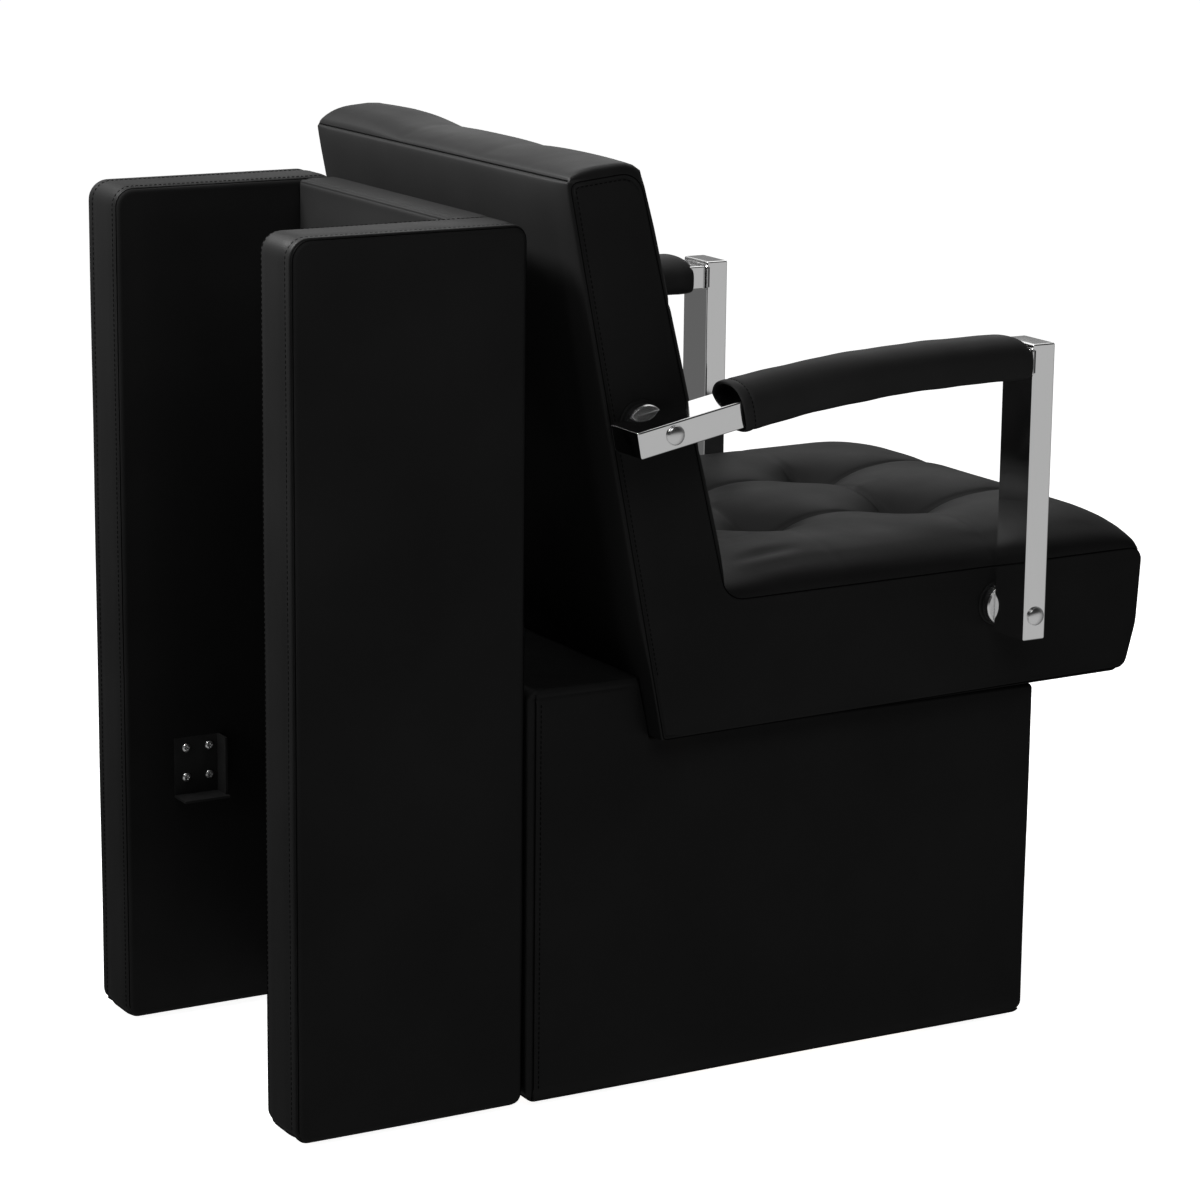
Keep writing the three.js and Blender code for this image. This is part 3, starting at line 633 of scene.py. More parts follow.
def build_base():
    low, high = box_mm("base_cover")
    ledge = box_mm("seat_cover")[0][2] - 0.5
    seams = seam_lines(high[1] - BASE_SEAM, high[1] - BASE_STITCH)
    lines = [
        edge_lines(low[0], high[0], 22),
        edge_lines(low[1], high[1], 22, [*BASE_STEP, *seams]),
        edge_lines(low[2], high[2], 20, seam_lines(high[2] - BASE_SEAM)),
    ]
    sharp, faces = box_shell(lines)
    corners = {(1, 1): 12, (1, -1): 12, (-1, 1): 8, (-1, -1): 12}
    points, depth = soft_box(sharp, low, high, 0, corners, BASE_EDGE)
    normals = surface_normals(points, faces)
    from_rear = high[1] - sharp[:, 1]
    from_top = high[2] - sharp[:, 2]
    face = (1.4 + 0.7 * ripple(points, 110, 1.3)) * smooth(depth / 40)
    face -= 1.5 * bell(from_rear - BASE_SEAM, 1.3) * smooth((from_top - 4) / 10)
    shelf = smooth((sharp[:, 1] - BASE_STEP[1]) / 5) * smooth(from_rear / 8)
    face -= 1.2 * bell(from_top - BASE_SEAM, 1.3) * shelf
    swell = np.where(depth > 0.01, face, 0.5 * ripple(points, 80, 3.1)) - tuck_in(sharp, low)
    points = points + normals * swell[:, None]
    share = np.clip((points[:, 1] - BASE_STEP[0]) / (BASE_STEP[1] - BASE_STEP[0]), 0, 1)
    ceiling = ledge + (high[2] - ledge) * share
    points[:, 2] = low[2] + (points[:, 2] - low[2]) * (ceiling - low[2]) / (high[2] - low[2])
    cover = add_cover("base_cover_upholstered", (points, faces), "base_cover", fill=0.95)
    for label, side in SIDES:
        x = side * high[0]
        y = high[1] - BASE_STITCH
        stitch_row(f"base_stitching_{label}", cover, [(x, y, low[2] + 14), (x, y, high[2] - 14)])
        y = high[1] - BASE_SEAM
        seam_line(f"base_seam_{label}", cover, [(x, y, low[2] + 4), (x, y, high[2] - 4)])


# ---- seat and back ----

REAR_LINE = ((100, 375), (214, 943))
FRONT_LINE = ((27, 513.5), (135, 951))
PANEL_CORNERS = [
    (100, 375, 5), (214, 943, 9), (135, 951, 25), (27, 513.5, 26), (-492, 518, 15), (-487, 435, 60),
    (-474, 385.5, 14),
]
FOAM_REAR = ((88, 513.5), (173, 947))
TUFT_X = 92
CREASE_DEPTH = 10
CREASE_WIDTH = 44
SIDE_CREASE_DEPTH = 2
SIDE_CREASE_WIDTH = 9
TUFT_DEPTH = 36
TUFT_REACH = 41
TUFT_KNOT = 9
SEAT_PRESSURE, SEAT_CAP = 3, 4
BACK_PRESSURE, BACK_CAP = 2.5, 3
CLOTH_FRAMES = 20
SEAT_TUFTS = (-303, -116)
BACK_TUFTS = (665, 815)
PAD_LAP = 8
SEAT_RISE = 38
SEAT_FRONT_ROLL = 85
SEAT_TILT_TOP = 4.5
SEAT_TILT_BOTTOM = 6
BACK_BULGE = 25
TOP_RISE = 8.5


def line_y(line, z):
    (y0, z0), (y1, z1) = line
    return y0 + (y1 - y0) * (z - z0) / (z1 - z0)


def crease(off, depth, width):
    """A crease that is sharp at its bottom and rounds over at its sides."""
    return depth * (1 - quarter(np.abs(off) / width))


def tufting(u, v, tufts):
    """Depth of the bowls at the tufts and of the creases that cross there.

    The creases run from tuft to tuft and out to the front; out to the sides they fade to fine lines.
    """
    outward = smooth((np.abs(u) - TUFT_X - 20) / 45)
    depth = CREASE_DEPTH + (SIDE_CREASE_DEPTH - CREASE_DEPTH) * outward
    width = CREASE_WIDTH + (SIDE_CREASE_WIDTH - CREASE_WIDTH) * outward
    creases = [crease(np.abs(u) - TUFT_X, CREASE_DEPTH, CREASE_WIDTH)]
    creases += [crease(v - place, depth, width) for place in tufts]
    away = [np.hypot(np.abs(u) - TUFT_X, v - place) for place in tufts]
    bowls = sum(np.exp(-(each / TUFT_REACH) ** 1.4) for each in away)
    return sum(each ** 3 for each in creases) ** (1 / 3) + TUFT_DEPTH * bowls


def nearest_to(values, targets):
    """The values with the nearest one to each target set on it."""
    values = np.array(values, float)
    for target in targets:
        values[np.argmin(np.abs(values - target))] = target
    return values


PAD_PITCH = 4.8


def pad_lines(half):
    near = np.array([0, 1.2, 3, 5.5, 8.5, 12, 16, 20.5])
    inner = np.linspace(-half + 25, half - 25, round((2 * half - 50) / PAD_PITCH) + 1)
    return nearest_to(np.concatenate([-half + near, inner, (half - near)[::-1]]), (-TUFT_X, TUFT_X))


def pad_mesh(corners, pitches, half, shape, tufts=(), axis=0):
    """Closed pad: the outline carried across x, then moved by shape. Its points meet the creases."""
    outline, _ = rounded_outline(corners, pitches, 5)
    outline[:, axis] = nearest_to(outline[:, axis], tufts)
    rings = []
    for x in pad_lines(half):
        ring = np.column_stack([np.full(len(outline), x), outline])
        rings.append(shape(ring))
    return skin(rings)


def near_tufts(u, v, tufts):
    """True close to a tuft, where the cover is held down."""
    return np.any([np.hypot(np.abs(u) - TUFT_X, v - place) < TUFT_KNOT for place in tufts], axis=0)


def inflate(piece, pinned, pressure, cap):
    """Cloth pressure on the pad, with its hidden sides, seams and tufts held, capped and applied."""
    mesh = piece.data
    rest = np.array([v.co for v in mesh.vertices])
    group = piece.vertex_groups.new(name="held")
    for index, held in enumerate(pinned):
        group.add([index], float(held), "REPLACE")
    cloth = piece.modifiers.new("Cloth", "CLOTH")
    settings = cloth.settings
    settings.quality = 6
    settings.mass = 0.25
    settings.vertex_group_mass = "held"
    settings.use_pressure = True
    settings.uniform_pressure_force = pressure
    settings.shrink_min = 0.002
    settings.tension_stiffness = 25
    settings.compression_stiffness = 25
    settings.bending_stiffness = 6
    settings.effector_weights.gravity = 0
    cloth.collision_settings.use_collision = False
    for number in range(1, CLOTH_FRAMES + 1):
        scene.frame_set(number)
    shaped = piece.evaluated_get(bpy.context.evaluated_depsgraph_get()).data
    moved = np.array([v.co for v in shaped.vertices])
    piece.modifiers.remove(cloth)
    piece.vertex_groups.remove(group)
    scene.frame_set(1)
    step = moved - rest
    length = np.linalg.norm(step, axis=1, keepdims=True)
    step *= np.minimum(1, cap * MM / np.maximum(length, 1e-9))
    mesh.vertices.foreach_set("co", (rest + step).ravel())
    mesh.update()


def seat_shape(ring):
    x, y, z = ring.T
    half = box_mm("seat_cover")[1][0]
    inside = half - np.abs(x)
    roll = quarter(inside / 100) * 0.75 + 0.25 * quarter(inside / 26)
    lift = smooth((z - 440) / 70)
    rear = 1 - 0.3 * smooth((y + 60) / 80)
    top = smooth((z - 500) / 13) * smooth((60 - y) / 20)
    tufts = tufting(x, y, SEAT_TUFTS)
    front = smooth((y + 492) / 60)
    front_roll = SEAT_FRONT_ROLL * (1 + 0.12 * np.clip(x / 200, -1, 1))
    rise = SEAT_RISE * roll * lift * rear * quarter((y + 492) / front_roll)
    share = np.clip((514 - z) / 138, 0, 1)
    rise += (SEAT_TILT_TOP + (SEAT_TILT_BOTTOM - SEAT_TILT_TOP) * share) * np.clip((27 - y) / 519, 0, 1)
    hollow = tufts * quarter(inside / 40) * (0.25 + 0.75 * front) * top
    bow = 7 * quarter(inside / 60) * bell(z - 470, 50) * smooth((-440 - y) / 20)
    lapped = x + np.sign(x) * PAD_LAP * smooth((20 - inside) / 20) * smooth((z - 500) / 10)
    return np.column_stack([lapped, y - bow, z + rise - hollow])


def build_seat():
    half = box_mm("seat_cover")[1][0]
    corners = [(62, 376, 2), (62, 514.2, 3), (-489, 514.2, 19), (-491.5, 487, 30), (-469.5, 376, 8)]
    shape = pad_mesh(corners, [40.0, PAD_PITCH, 6.0, 11.0, 30.0], half, seat_shape, SEAT_TUFTS, 0)
    seat = add_cover("seat_pad", shape, "seat_cover", 0.75, VINYL_SOFT)
    x, y, z = np.array([v.co / MM for v in seat.data.vertices]).T
    held = (np.abs(x) > half - 4) | (z < 505) | (y > 40) | near_tufts(x, y, SEAT_TUFTS)
    inflate(seat, held, SEAT_PRESSURE, SEAT_CAP)
    inner = [(52, 487, 2), (52, 512, 3), (-480, 512, 14), (-481, 487, 5)]
    below = pad_mesh(inner, [40.0, 13.0, 6.0, 40.0], half - 9, lambda ring: seat_shape(ring) - (0, 0, 9))
    add_piece("seat_foam_pad", *below, FOAM, "foam", ["seat_foam"], fill=0.8)


def build_seat_frame():
    """The seat's wooden frame, kept just inside the pad whose underside tilts with it."""
    low, high = box_mm("seat_frame")
    corners = [(high[1] - 8, low[2] + 4, 3), (high[1], high[2] - 2, 3), (low[1] + 2, high[2] - 2, 4),
               (low[1] + 16, low[2] + 4, 4)]

    def tilted(ring):
        x, y, z = ring.T
        lift = SEAT_TILT_BOTTOM * smooth((high[2] - z) / 60) * np.clip((27 - y) / 519, 0, 1)
        return np.column_stack([x, y, z + lift])

    board = pad_mesh(corners, [25.0] * 4, high[0] - 1, tilted)
    add_piece("seat_board", *board, PLYWOOD, "plywood", ["seat_frame"])


def back_shape(ring):
    x, y, z = ring.T
    half = box_mm("back_cover")[1][0]
    inside = half - np.abs(x)
    roll = quarter(inside / 100) * 0.75 + 0.25 * quarter(inside / 26)
    on_top = smooth((z - 895) / 50)
    forward = smooth((line_y(FRONT_LINE, z) + 55 - y) / 50)
    low_roll = quarter((z - 500) / 75)
    dip = sum(bell(x - side * (TUFT_X - 0.12 * (y - 170)), 7) for side in (1, -1))
    dip_wide = sum(bell(x - side * TUFT_X, 36) for side in (1, -1))
    plump = 1 + 0.75 * smooth((x - 70) / 130)
    crown = TOP_RISE * quarter(inside / 7) * plump * quarter((213 - y) / 36) * on_top
    crown -= (0.9 * dip + 1.1 * dip_wide) * on_top * quarter((213 - y) / 30)
    tufts = tufting(x, z, BACK_TUFTS) * quarter(inside / 40) * forward
    tufts *= smooth((z - 520) / 60) * smooth((948 - z) / 45)
    bulge = BACK_BULGE * roll * forward * low_roll * (1 - 0.35 * smooth((z - 890) / 60))
    lapped = x + np.sign(x) * PAD_LAP * smooth((20 - inside) / 20) * smooth((z - 935) / 6)
    return np.column_stack([lapped, y - bulge + tufts * 0.95, z + crown - tufts * 0.2])


def build_back():
    half = box_mm("back_cover")[1][0]
    corners = [
        (line_y(REAR_LINE, 515) - 8, 515, 3), (213.8, 944.6, 3), (135.5, 952, 30),
        (line_y(FRONT_LINE, 515), 515, 4),
    ]
    shape = pad_mesh(corners, [40.0, PAD_PITCH, PAD_PITCH, 30.0], half, back_shape, BACK_TUFTS, 1)
    back = add_cover("back_pad", shape, "back_cover", 0.75, VINYL_SOFT)
    seam_line("back_top_seam", back, [(-4 - half, 214.5, 944), (half + 4, 214.5, 944)])
    x, y, z = np.array([v.co / MM for v in back.data.vertices]).T
    forward = y < line_y(FRONT_LINE, z) + 45
    held = (np.abs(x) > half - 4) | (~forward & (z < 941)) | (z < 525) | ((y > 203) & (z < 948))
    held |= forward & near_tufts(x, z, BACK_TUFTS)
    inflate(back, held, BACK_PRESSURE, BACK_CAP)
    inner = [
        (line_y(FOAM_REAR, 522), 522, 2), (line_y(FOAM_REAR, 928), 928, 4),
        (line_y(FRONT_LINE, 934) + 9, 934, 22), (line_y(FRONT_LINE, 522) + 9, 522, 3),
    ]
    below = pad_mesh(inner, [30.0, 8.0, 13.0, 30.0], half - 9, lambda ring: back_shape(ring) + (0, 3, -2))
    add_piece("back_foam_pad", *below, FOAM, "foam", ["back_foam"], fill=0.8)


REAR_THICKNESS = 5
REAR_SWELL = 6
REAR_LAP = 8
REAR_LIFT = 0.8
# The panel stays flat up to this height above its lower edge, behind the base's shelf.
REAR_FLAT = 66


def build_rear_panel():
    half = box_mm("back_rear_panel")[1][0] + REAR_LAP
    (y0, z0), (y1, z1) = REAR_LINE
    length = math.hypot(y1 - y0, z1 - z0)
    low = np.array([-half, -REAR_THICKNESS, 0])
    high = np.array([half, 0, length])
    across = np.array([-REAR_THICKNESS, -3, -1.5, 0.0])
    lines = [edge_lines(-half, half, 20), across, edge_lines(0, length, 18)]
    sharp, faces = box_shell(lines)
    points, depth = soft_box(sharp, low, high, 1, even_corners(2), 1.5)
    from_side = half - np.abs(sharp[:, 0])
    from_top = length - sharp[:, 2]
    rear = sharp[:, 1] > -0.01
    swell = REAR_SWELL * quarter(from_side / 55) * quarter(from_top / 34)
    swell += 1.2 * smooth(depth / 60) * ripple(sharp, 85, 0.9)
    swell *= smooth((sharp[:, 2] - REAR_FLAT) / 60)
    points[:, 1] += np.where(rear, REAR_LIFT + swell, 0)
    along = np.array([y1 - y0, z1 - z0]) / length
    out = np.array([along[1], -along[0]])
    placed = np.column_stack([
        points[:, 0],
        y0 + points[:, 2] * along[0] + points[:, 1] * out[0],
        z0 + points[:, 2] * along[1] + points[:, 1] * out[1],
    ])
    add_cover("rear_panel", (placed, faces), "back_rear_panel")


PANEL_SEAM = 5
PANEL_ROLL, PANEL_ROLL_DEPTH = 2.5, 4
PANEL_CROWN = 1.2


def build_side_panel(label, side):
    _, _, outer, inner = sides_of(f"side_panel_{label}", side)
    thickness = abs(outer - inner)
    outline, counts = rounded_outline(PANEL_CORNERS, [7.0] * len(PANEL_CORNERS), 7)
    y, z = outline.T
    sewn = (np.abs(y - line_y(REAR_LINE, z)) < 14) | (z > 930)

    def ring(inset, lift):
        """The outline moved in by inset, lift mm outside the panel's outer face."""
        points, _ = rounded_outline(inset_corners(PANEL_CORNERS, inset), counts, 7)
        return np.column_stack([outer + side * (lift + np.zeros(len(points))), points])

    rings = [ring(1.6, -thickness), ring(1.2, 1 - thickness), ring(0, 2.5 - thickness)]
    for share in (0.15, 0.35, 0.6, 1.0):
        turn = share * math.pi / 2
        rings.append(ring(PANEL_ROLL * (1 - math.cos(turn)), -PANEL_ROLL_DEPTH * (1 - math.sin(turn))))
    for inset in (4.2, 5, 5.8, 7, 9.5, 13.5, 20, 32):
        lift = PANEL_CROWN * (smooth((inset - 4) / 24) - bell(inset - PANEL_SEAM, 0.8) * sewn)
        rings.append(ring(inset, lift))
    panel = add_cover(f"side_cover_{label}", skin(rings), f"side_panel_{label}")
    edge = ring(1.2, 0)
    seam_line(f"side_seam_{label}", panel, np.concatenate([edge, edge[:1]]))
    path = ring(PANEL_SEAM + 1.5, 0)
    rear_start = int(np.argmin(np.abs(path[:, 2] - 445) + (path[:, 1] < 60) * 999))
    top_end = int(np.argmin(np.hypot(path[:, 1] - 140, path[:, 2] - 941)))
    stitch_row(f"side_stitching_{label}", panel, path[min(rear_start, top_end):max(rear_start, top_end)])


# ---- arms ----

RAIL_TOP = 742
ARC_START = -230
ARC_RADIUS = 1567
ARC_END = 60
BAR_THICKNESS = 27
LEG_REAR = -289
BAR_ROUND = 1.8


def rail_point(y, lift):
    """Point beside the top rail's centre line: level at the front, then drooping to the rear."""
    along = min(max(y - ARC_START, 0), ARC_END - ARC_START)
    angle = math.asin(along / ARC_RADIUS)
    past = max(y - ARC_END, 0)
    z = RAIL_TOP - ARC_RADIUS * (1 - math.cos(angle)) - past * math.tan(angle)
    return y + lift * math.sin(angle), z + lift * math.cos(angle)


def rounded_section(half_u, half_v, radius, steps=4):
    points = []
    for corner, (su, sv) in enumerate(((1, 1), (-1, 1), (-1, -1), (1, -1))):
        for step in range(steps + 1):
            angle = (corner + step / steps) * math.pi / 2
            points.append((su * (half_u - radius) + radius * math.cos(angle),
                           sv * (half_v - radius) + radius * math.sin(angle)))
    return points


def weighted(piece):
    modifier = piece.modifiers.new("Flat faces", "WEIGHTED_NORMAL")
    modifier.keep_sharp = True
    modifier.weight = 80


def rail_rings(middle_x, half_x, start, end, steps):
    rings = []
    for y in np.linspace(start, end, steps):
        ring = []
        for u, v in rounded_section(half_x, BAR_THICKNESS / 2, BAR_ROUND):
            py, pz = rail_point(y, v)
            ring.append((middle_x + u, py, pz))
        rings.append(ring)
    return rings


def shrunk(ring, by, shift):
    """The ring drawn in towards its middle and moved by shift."""
    ring = np.asarray(ring, float)
    middle = ring.mean(axis=0)
    arm = ring - middle
    length = np.linalg.norm(arm, axis=1, keepdims=True)
    return middle + arm * (1 - by / np.maximum(length, 1e-6)) + np.asarray(shift)


LEG_RAISE = 10
# How the leg's end draws in: distance from the end, and how far in.
LEG_END = ((0, 1.8), (0.5, 0.5), (1.8, 0))
FRONT_FIXING_RAISE = 6.5


def build_bar(label):
    low, high = box_mm(f"arm_bar_{label}")
    middle, half = (low[0] + high[0]) / 2, (high[0] - low[0]) / 2
    rear = high[1] - 2.5
    rings = rail_rings(middle, half, rear, LEG_REAR - 3, 46)
    rim = [shrunk(rings[0], 2.0, (0, 1.6, 0)), shrunk(rings[0], 0.7, (0, 1.2, 0))]
    points, faces = skin([*rim, *rings])
    leg_middle = (low[1] + LEG_REAR) / 2
    leg_half = (LEG_REAR - low[1]) / 2
    leg_rings = []
    for end, inward in ((low[2] + LEG_RAISE, 1), (high[2], -1)):
        for along, draw in LEG_END[::inward]:
            section = rounded_section(half - draw, leg_half - draw, BAR_ROUND)
            leg_rings.append([(middle + u, leg_middle + v, end + inward * along) for u, v in section])
    leg_points, leg_faces = skin(leg_rings)
    faces = faces + [tuple(index + len(points) for index in face) for face in leg_faces]
    points = np.concatenate([points, leg_points])
    bar = add_piece(f"arm_tube_{label}", points, faces, CHROME, "chrome", [f"arm_bar_{label}"])
    weighted(bar)
    add_weld(label, middle, half)


WELD_RADIUS = 0.75
WELD_STEPS = 96
WELD_SIDES = 8


def add_weld(label, middle, half):
    """Plated weld bead where the rail meets the leg."""
    centre = np.array([middle, RAIL_TOP])
    path = centre + np.array(rounded_section(half, BAR_THICKNESS / 2, BAR_ROUND, 3))
    path = np.concatenate([path, path[:1]])
    along = lengths_along(path)
    points = []
    faces = []
    for step in range(WELD_STEPS):
        place = along[-1] * step / WELD_STEPS
        spot = np.array([np.interp(place, along, path[:, 0]), np.interp(place, along, path[:, 1])])
        out = (spot - centre) / np.linalg.norm(spot - centre)
        radius = WELD_RADIUS + 0.07 * math.sin(step * 1.1) + 0.05 * math.sin(step * 0.43)
        here, following = step * WELD_SIDES, (step + 1) % WELD_STEPS * WELD_SIDES
        for side, turn in enumerate(turns_of(WELD_SIDES)):
            x, z = spot + out * radius * math.cos(turn)
            points.append((x, LEG_REAR + 0.3 + radius * math.sin(turn), z))
            after = (side + 1) % WELD_SIDES
            faces.append((here + side, here + after, following + after, following + side))
    add_piece(f"arm_weld_{label}", points, faces, CHROME, "chrome")


SLEEVE_REAR = 55
SLEEVE_FRONT = {"left": -270, "right": -288}
SLEEVE_BELOW = 6
# From inside the open rear end, round its rim and over the hem: Y, and how far out of the plain shape.
SLEEVE_HEM = (
    (18, -3), (40, -3), (54, -3), (55.4, -2.2), (56, -1.2), (55.4, -0.2), (54, 0.4), (50, 0.7), (47, 0.3),
    (45.6, -0.5), (44.2, 0.2), (42, 0.5), (36, 0.3),
)


def sleeve_above(y):
    share = max((y - ARC_START) / (SLEEVE_REAR - ARC_START), 0)
    return BAR_THICKNESS / 2 + 11.5 + 4 * share + 1.3 * bell(y + 246, 16)


def sleeve_ring(middle, half, y, grow, drop=0.0, narrow=0.0):
    """D-shaped section square to the rail: arched over the top, flatter beneath."""
    above = sleeve_above(y) + grow - drop
    below = BAR_THICKNESS / 2 + SLEEVE_BELOW + grow - 0.5 * narrow
    width = half + grow - narrow
    ring = []
    for turn in turns_of(48):
        c, s = math.cos(turn), math.sin(turn)
        power = 2 / 2.5 if s >= 0 else 2 / 4.5
        u = width * math.copysign(abs(c) ** power, c)
        lift = (above if s >= 0 else below) * math.copysign(abs(s) ** power, s)
        py, pz = rail_point(y, lift)
        ring.append((middle + u, py, pz))
    return ring


def build_sleeve(label):
    low, high = box_mm(f"arm_sleeve_{label}")
    middle, half = (low[0] + high[0]) / 2, (high[0] - low[0]) / 2
    front = SLEEVE_FRONT[label]
    rings = []
    for y, grow in SLEEVE_HEM:
        rings.append(sleeve_ring(middle, half, y, grow))
    for y in np.linspace(26, front + 22, 30):
        grow = 0.5 * math.sin(y / 17) + 0.35 * math.sin(y / 7.3 + 1)
        rings.append(sleeve_ring(middle, half, y, grow * 0.6))
    for share in (0.25, 0.5, 0.7, 0.85, 0.95, 1.0):
        y = front + 22 - 22 * share
        drop = 11 * (1 - math.sqrt(1 - (share * 0.98) ** 2))
        rings.append(sleeve_ring(middle, half, y, 0, drop, drop * 0.3))
    last = rings[-1]
    rings.append(shrunk(last, 3, (0, -0.5, 0)))
    rings.append(shrunk(last, 12, (0, -0.3, 0)))
    points, faces = skin(rings)
    sleeve = add_piece(f"arm_pad_{label}", points, faces, VINYL_SLEEVE_PAINTED_LIGHT, "black_vinyl",
                       [f"arm_sleeve_{label}", f"arm_foam_{label}"], fill=0.8)
    modifier = sleeve.modifiers.new("Fine", "SUBSURF")
    modifier.levels = 1
    modifier.render_levels = 1
    hem = sleeve_ring(middle, half, 45.6, -0.3)
    stitch_row(f"arm_pad_stitching_{label}", sleeve, [*hem, hem[0]], pitch=4.6, length=3.2)


def turned(profile, place, side, segments=48, dent=None):
    """Round piece about X: profile lists (along, radius), along counted outward from place."""
    x0, y0, z0 = place
    rings = []
    for along, radius in profile:
        ring = []
        for turn in turns_of(segments):
            u, v = radius * math.cos(turn), radius * math.sin(turn)
            sunk = dent(u, v) if dent and along > 0 else 0
            ring.append((x0 + side * (along - sunk), y0 + u, z0 + v))
        rings.append(ring)
    return skin(rings)


def centre_of(node):
    low, high = box_mm(node)
    return low, high, (low + high) / 2


SPACER_CHAMFER = 1.6
# How far each fixing's radius differs from the CAD's.
SPACER_EXTRA = 0.8
WASHER_LESS = 2
BOLT_EXTRA = 1.3


def spacer_profile(length, radius):
    """Half the outline of a turned spacer with chamfered ends, as (along, radius)."""
    c = SPACER_CHAMFER
    end = [(0, 8), (0, radius - c), (0.3, radius - 0.8 * c), (c, radius - 0.15), (c + 0.6, radius)]
    return end + [(length - along, at) for along, at in reversed(end)]


def dome_profile(start, height, radius, first, last, steps):
    """A domed head's outline from its rim to its middle."""
    turns = np.linspace(first, last, steps)
    return [(start + height * math.sin(turn), radius * math.cos(turn)) for turn in turns]


def build_fixings(label, side):
    for place, raised in (("front", FRONT_FIXING_RAISE), ("rear", 0)):
        def add_turned(name, node, start, profile, material, slot):
            _, _, (_, y, z) = centre_of(node)
            shape = turned(profile, (start, y, z + raised), side)
            return add_piece(f"{name}_{place}_{label}", *shape, material, slot, [node])

        node = f"arm_spacer_{place}_{label}"
        low, high, _ = centre_of(node)
        profile = spacer_profile(high[0] - low[0], (high[1] - low[1]) / 2 + SPACER_EXTRA)
        start = side * min(abs(low[0]), abs(high[0]))
        weighted(add_turned("spacer", node, start, profile, SATIN, "chrome"))
        node = f"spacer_ring_{place}_{label}"
        low, high, _ = centre_of(node)
        radius = (high[1] - low[1]) / 2 - WASHER_LESS
        profile = [(0, radius - 1), (0.5, radius), (1.6, radius)]
        profile += [(2.4, radius - 0.7), (2.7, radius - 2), (2.7, 5)]
        start = side * min(abs(low[0]), abs(high[0]))
        add_turned("washer", node, start, profile, PLASTIC, "black_plastic")
        node = f"arm_bolt_{place}_{label}"
        low, high, _ = centre_of(node)
        radius = (high[1] - low[1]) / 2 + BOLT_EXTRA
        profile = [(-60, 3.9), (0.2, 3.9), (0.2, radius - 0.5), (0.6, radius), (1.3, radius)]
        profile += dome_profile(1.3, 3.2, radius, 0.2, 1.5, 9)
        _, _, face, _ = sides_of(f"arm_bar_{label}", side)
        add_turned("bolt", node, face, profile, SATIN, "chrome")


def cross_recess(u, v):
    arm, reach = 0.75, 2.7
    across = max(0.0, 1 - (abs(u) / arm) ** 4) * max(0.0, 1 - (abs(v) / reach) ** 4)
    upright = max(0.0, 1 - (abs(v) / arm) ** 4) * max(0.0, 1 - (abs(u) / reach) ** 4)
    return 1.5 * max(across, upright)


def build_screws(label, side):
    for row in ("lower", "upper"):
        for column in ("front", "rear"):
            node = f"bracket_screw_{row}_{column}_{label}"
            low, high, middle = centre_of(node)
            tip = low[0] if side > 0 else high[0]
            face = tip + side * 3.0
            radius = (high[1] - low[1]) / 2
            head = [(-12, 1.9), (-0.1, 1.9), (0, radius - 0.2), (0.25, radius)]
            head += dome_profile(0.3, 2.6, radius, 0.15, 1.56, 16)
            points, faces = turned(head, (face, middle[1], middle[2]), -side, 40, cross_recess)
            add_piece(node.replace("bracket_screw", "pan_screw"), points, faces, ZINC, "zinc", [node])


# ---- CAD nodes that stay ----


NODE_MATERIALS = (
    (("frame", "carcass", "bottom_board"), PLYWOOD),
    (("foam",), FOAM),
    (("foot_insert", "joining_bolt"), ZINC),
    (("levelling_foot",), PLASTIC),
    (("dryer_bracket",), BLACK_STEEL),
)


def finish_nodes():
    """Materials, and small bevels on the steel, for the CAD nodes that are shown as they are."""
    for name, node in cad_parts.items():
        for words, material in NODE_MATERIALS:
            if any(word in name for word in words):
                for slot in node.material_slots:
                    slot.material = material
        if name.startswith("dryer_bracket"):
            bevel = node.modifiers.new("Edges", "BEVEL")
            bevel.width = 0.5 * MM
            bevel.segments = 2
            bevel.limit_method = "ANGLE"


# ---- studio ----

FLOOR_SIZE = 30
BACKDROP_DIRECTION = (0.86, -0.5)
# The room's brightness on the near side and the far side.
SKY_LEVELS = (0.03, 0.3)
GROUND_LEVELS = (0.58, 0.16)


def build_camera():
    azimuth, elevation = math.radians(CAMERA_AZIMUTH), math.radians(CAMERA_ELEVATION)
    back = Vector((
        math.sin(azimuth) * math.cos(elevation),
        -math.cos(azimuth) * math.cos(elevation),
        math.sin(elevation),
    ))
    right = Vector((0, 0, 1)).cross(back).normalized()
    up = back.cross(right)
    roll = math.radians(CAMERA_ROLL)
    rolled_right = math.cos(roll) * right + math.sin(roll) * up
    rolled_up = math.cos(roll) * up - math.sin(roll) * right
    data = bpy.data.cameras.new("camera")
    data.sensor_width = CAMERA_SENSOR
    data.lens = CAMERA_LENS
    data.clip_end = 100
    camera = bpy.data.objects.new("camera", data)
    turn = Matrix((rolled_right, rolled_up, back)).transposed().to_4x4()
    camera.matrix_world = Matrix.Translation(CAMERA_PLACE) @ turn
    scene.collection.objects.link(camera)
    scene.camera = camera


def build_floor():
    mesh = bpy.data.meshes.new("floor")
    half = FLOOR_SIZE / 2
    corners = [(-half, -half, 0), (half, -half, 0), (half, half, 0), (-half, half, 0)]
    mesh.from_pydata(corners, [], [(0, 1, 2, 3)])
    floor = bpy.data.objects.new("floor", mesh)
    finish = Finish("floor", grey(0.8), 0.9, specular=0)
    set_inputs(finish.shader, Emission_Color=(1, 1, 1, 1), Emission_Strength=0.95)
    mesh.materials.append(finish.material)
    floor.visible_glossy = False
    floor.visible_diffuse = False
    scene.collection.objects.link(floor)


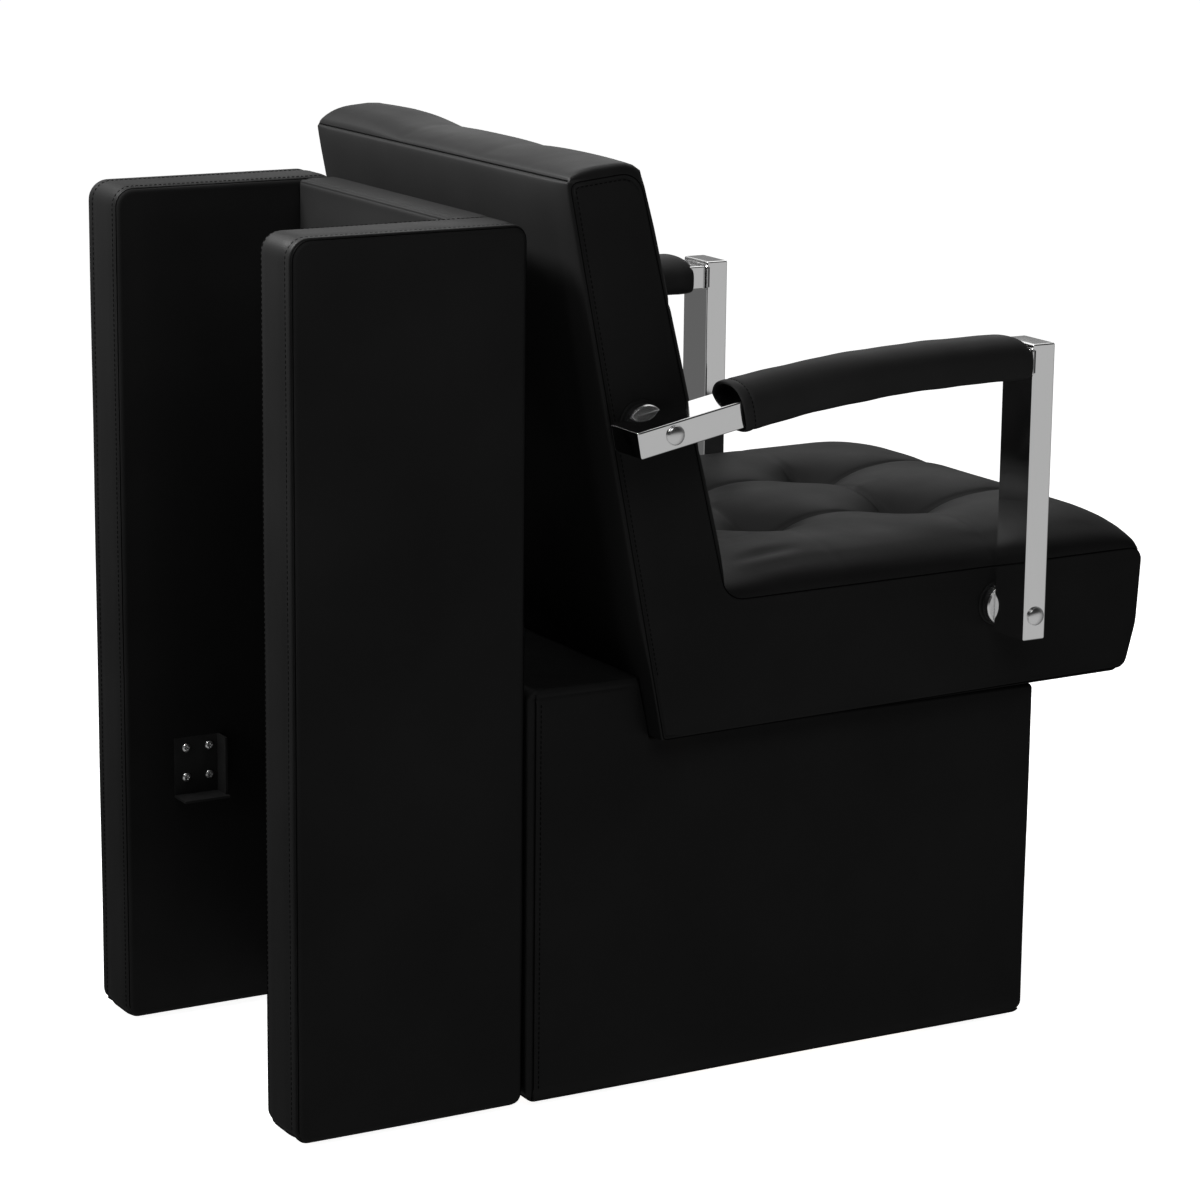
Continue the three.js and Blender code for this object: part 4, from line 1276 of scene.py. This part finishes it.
def add_softbox(name, place, aim, size, strength):
    data = bpy.data.lights.new(name, "AREA")
    data.shape = "RECTANGLE"
    data.size, data.size_y = size
    data.energy = strength * math.pi * size[0] * size[1]
    lamp = bpy.data.objects.new(name, data)
    lamp.location = place
    lamp.rotation_mode = "QUATERNION"
    lamp.rotation_quaternion = (Vector(aim) - Vector(place)).to_track_quat("-Z", "Y")
    lamp.visible_camera = False
    scene.collection.objects.link(lamp)
    return lamp


def build_world():
    """White to the camera; for the rest a dim room, brighter on the far side and below the horizon."""
    world = bpy.data.worlds.new("studio")
    scene.world = world
    world.use_nodes = True
    tree = world.node_tree
    tree.nodes.clear()
    output, mix, path = (add_node(tree, kind) for kind in ("OutputWorld", "MixShader", "LightPath"))
    room = add_node(tree, "Background")
    white = add_node(tree, "Background", Color=(1, 1, 1, 1), Strength=1.02)
    place, split, level = (add_node(tree, kind) for kind in ("TexCoord", "SeparateXYZ", "Mix"))
    toward = add_node(tree, "VectorMath")
    toward.operation = "DOT_PRODUCT"
    toward.inputs[1].default_value = (*BACKDROP_DIRECTION, 0)
    links = tree.links
    links.new(place.outputs["Generated"], toward.inputs[0])
    links.new(place.outputs["Generated"], split.inputs["Vector"])
    links.new(spread(tree, toward.outputs["Value"], -0.3, 0.9, *SKY_LEVELS), level.inputs["A"])
    links.new(spread(tree, toward.outputs["Value"], -0.3, 0.3, *GROUND_LEVELS), level.inputs["B"])
    links.new(spread(tree, split.outputs["Z"], 0.02, -0.06, 0, 1), level.inputs["Factor"])
    links.new(level.outputs["Result"], room.inputs["Strength"])
    links.new(path.outputs["Is Camera Ray"], mix.inputs["Fac"])
    links.new(room.outputs["Background"], mix.inputs[1])
    links.new(white.outputs["Background"], mix.inputs[2])
    links.new(mix.outputs["Shader"], output.inputs["Surface"])


# Each softbox: name, place, aim, size and strength.
SOFTBOXES = (
    ("overhead", (0.55, 0.62, 2.1), (0.55, 0.6201, 0), (0.9, 1.4), 4.5),
    ("rear", (0.35, 1.12, 1.8), (0, 0.2, 2.0), (0.8, 0.5), 64),
    ("far side", (1.6, -1.1, 1.8), (0, -0.2, 0.5), (1.4, 1.4), 0.95),
    ("front", (0.4, -1.2, 2.8), (0, -0.2, 0.5), (1.6, 1.6), 0.9),
    ("far rear", (1.5, 0.7, 1.9), (0, 0.2, 0.8), (1.0, 1.0), 1.5),
    ("camera side", (-2.6, 1.0, 2.8), (0, 0, 0.6), (1.8, 1.2), 1.6),
    ("near fill", (-1.5, 0.45, 1.75), (-0.2, 0.2, 0.7), (1.0, 1.0), 2.7),
    ("rear fill", (-0.2, 2.6, 0.9), (0, 0.3, 0.6), (1.2, 1.2), 3.2),
)
SHINE_ONLY = ("camera side",)
NO_SHINE = ("near fill", "rear fill")


def build_studio():
    build_floor()
    build_world()
    for name, place, aim, size, strength in SOFTBOXES:
        lamp = add_softbox(name, place, aim, size, strength)
        lamp.visible_diffuse = name not in SHINE_ONLY
        lamp.visible_glossy = name not in NO_SHINE
    scene.view_settings.view_transform = "Standard"
    scene.view_settings.look = "None"


build_camera()
build_studio()
finish_nodes()
for side_label, side_sign in SIDES:
    build_wing(side_label, side_sign)
    build_side_panel(side_label, side_sign)
    build_bar(side_label)
    build_sleeve(side_label)
    build_fixings(side_label, side_sign)
    build_screws(side_label, side_sign)
build_cross()
build_base()
build_rear_panel()
build_seat_frame()
build_seat()
build_back()
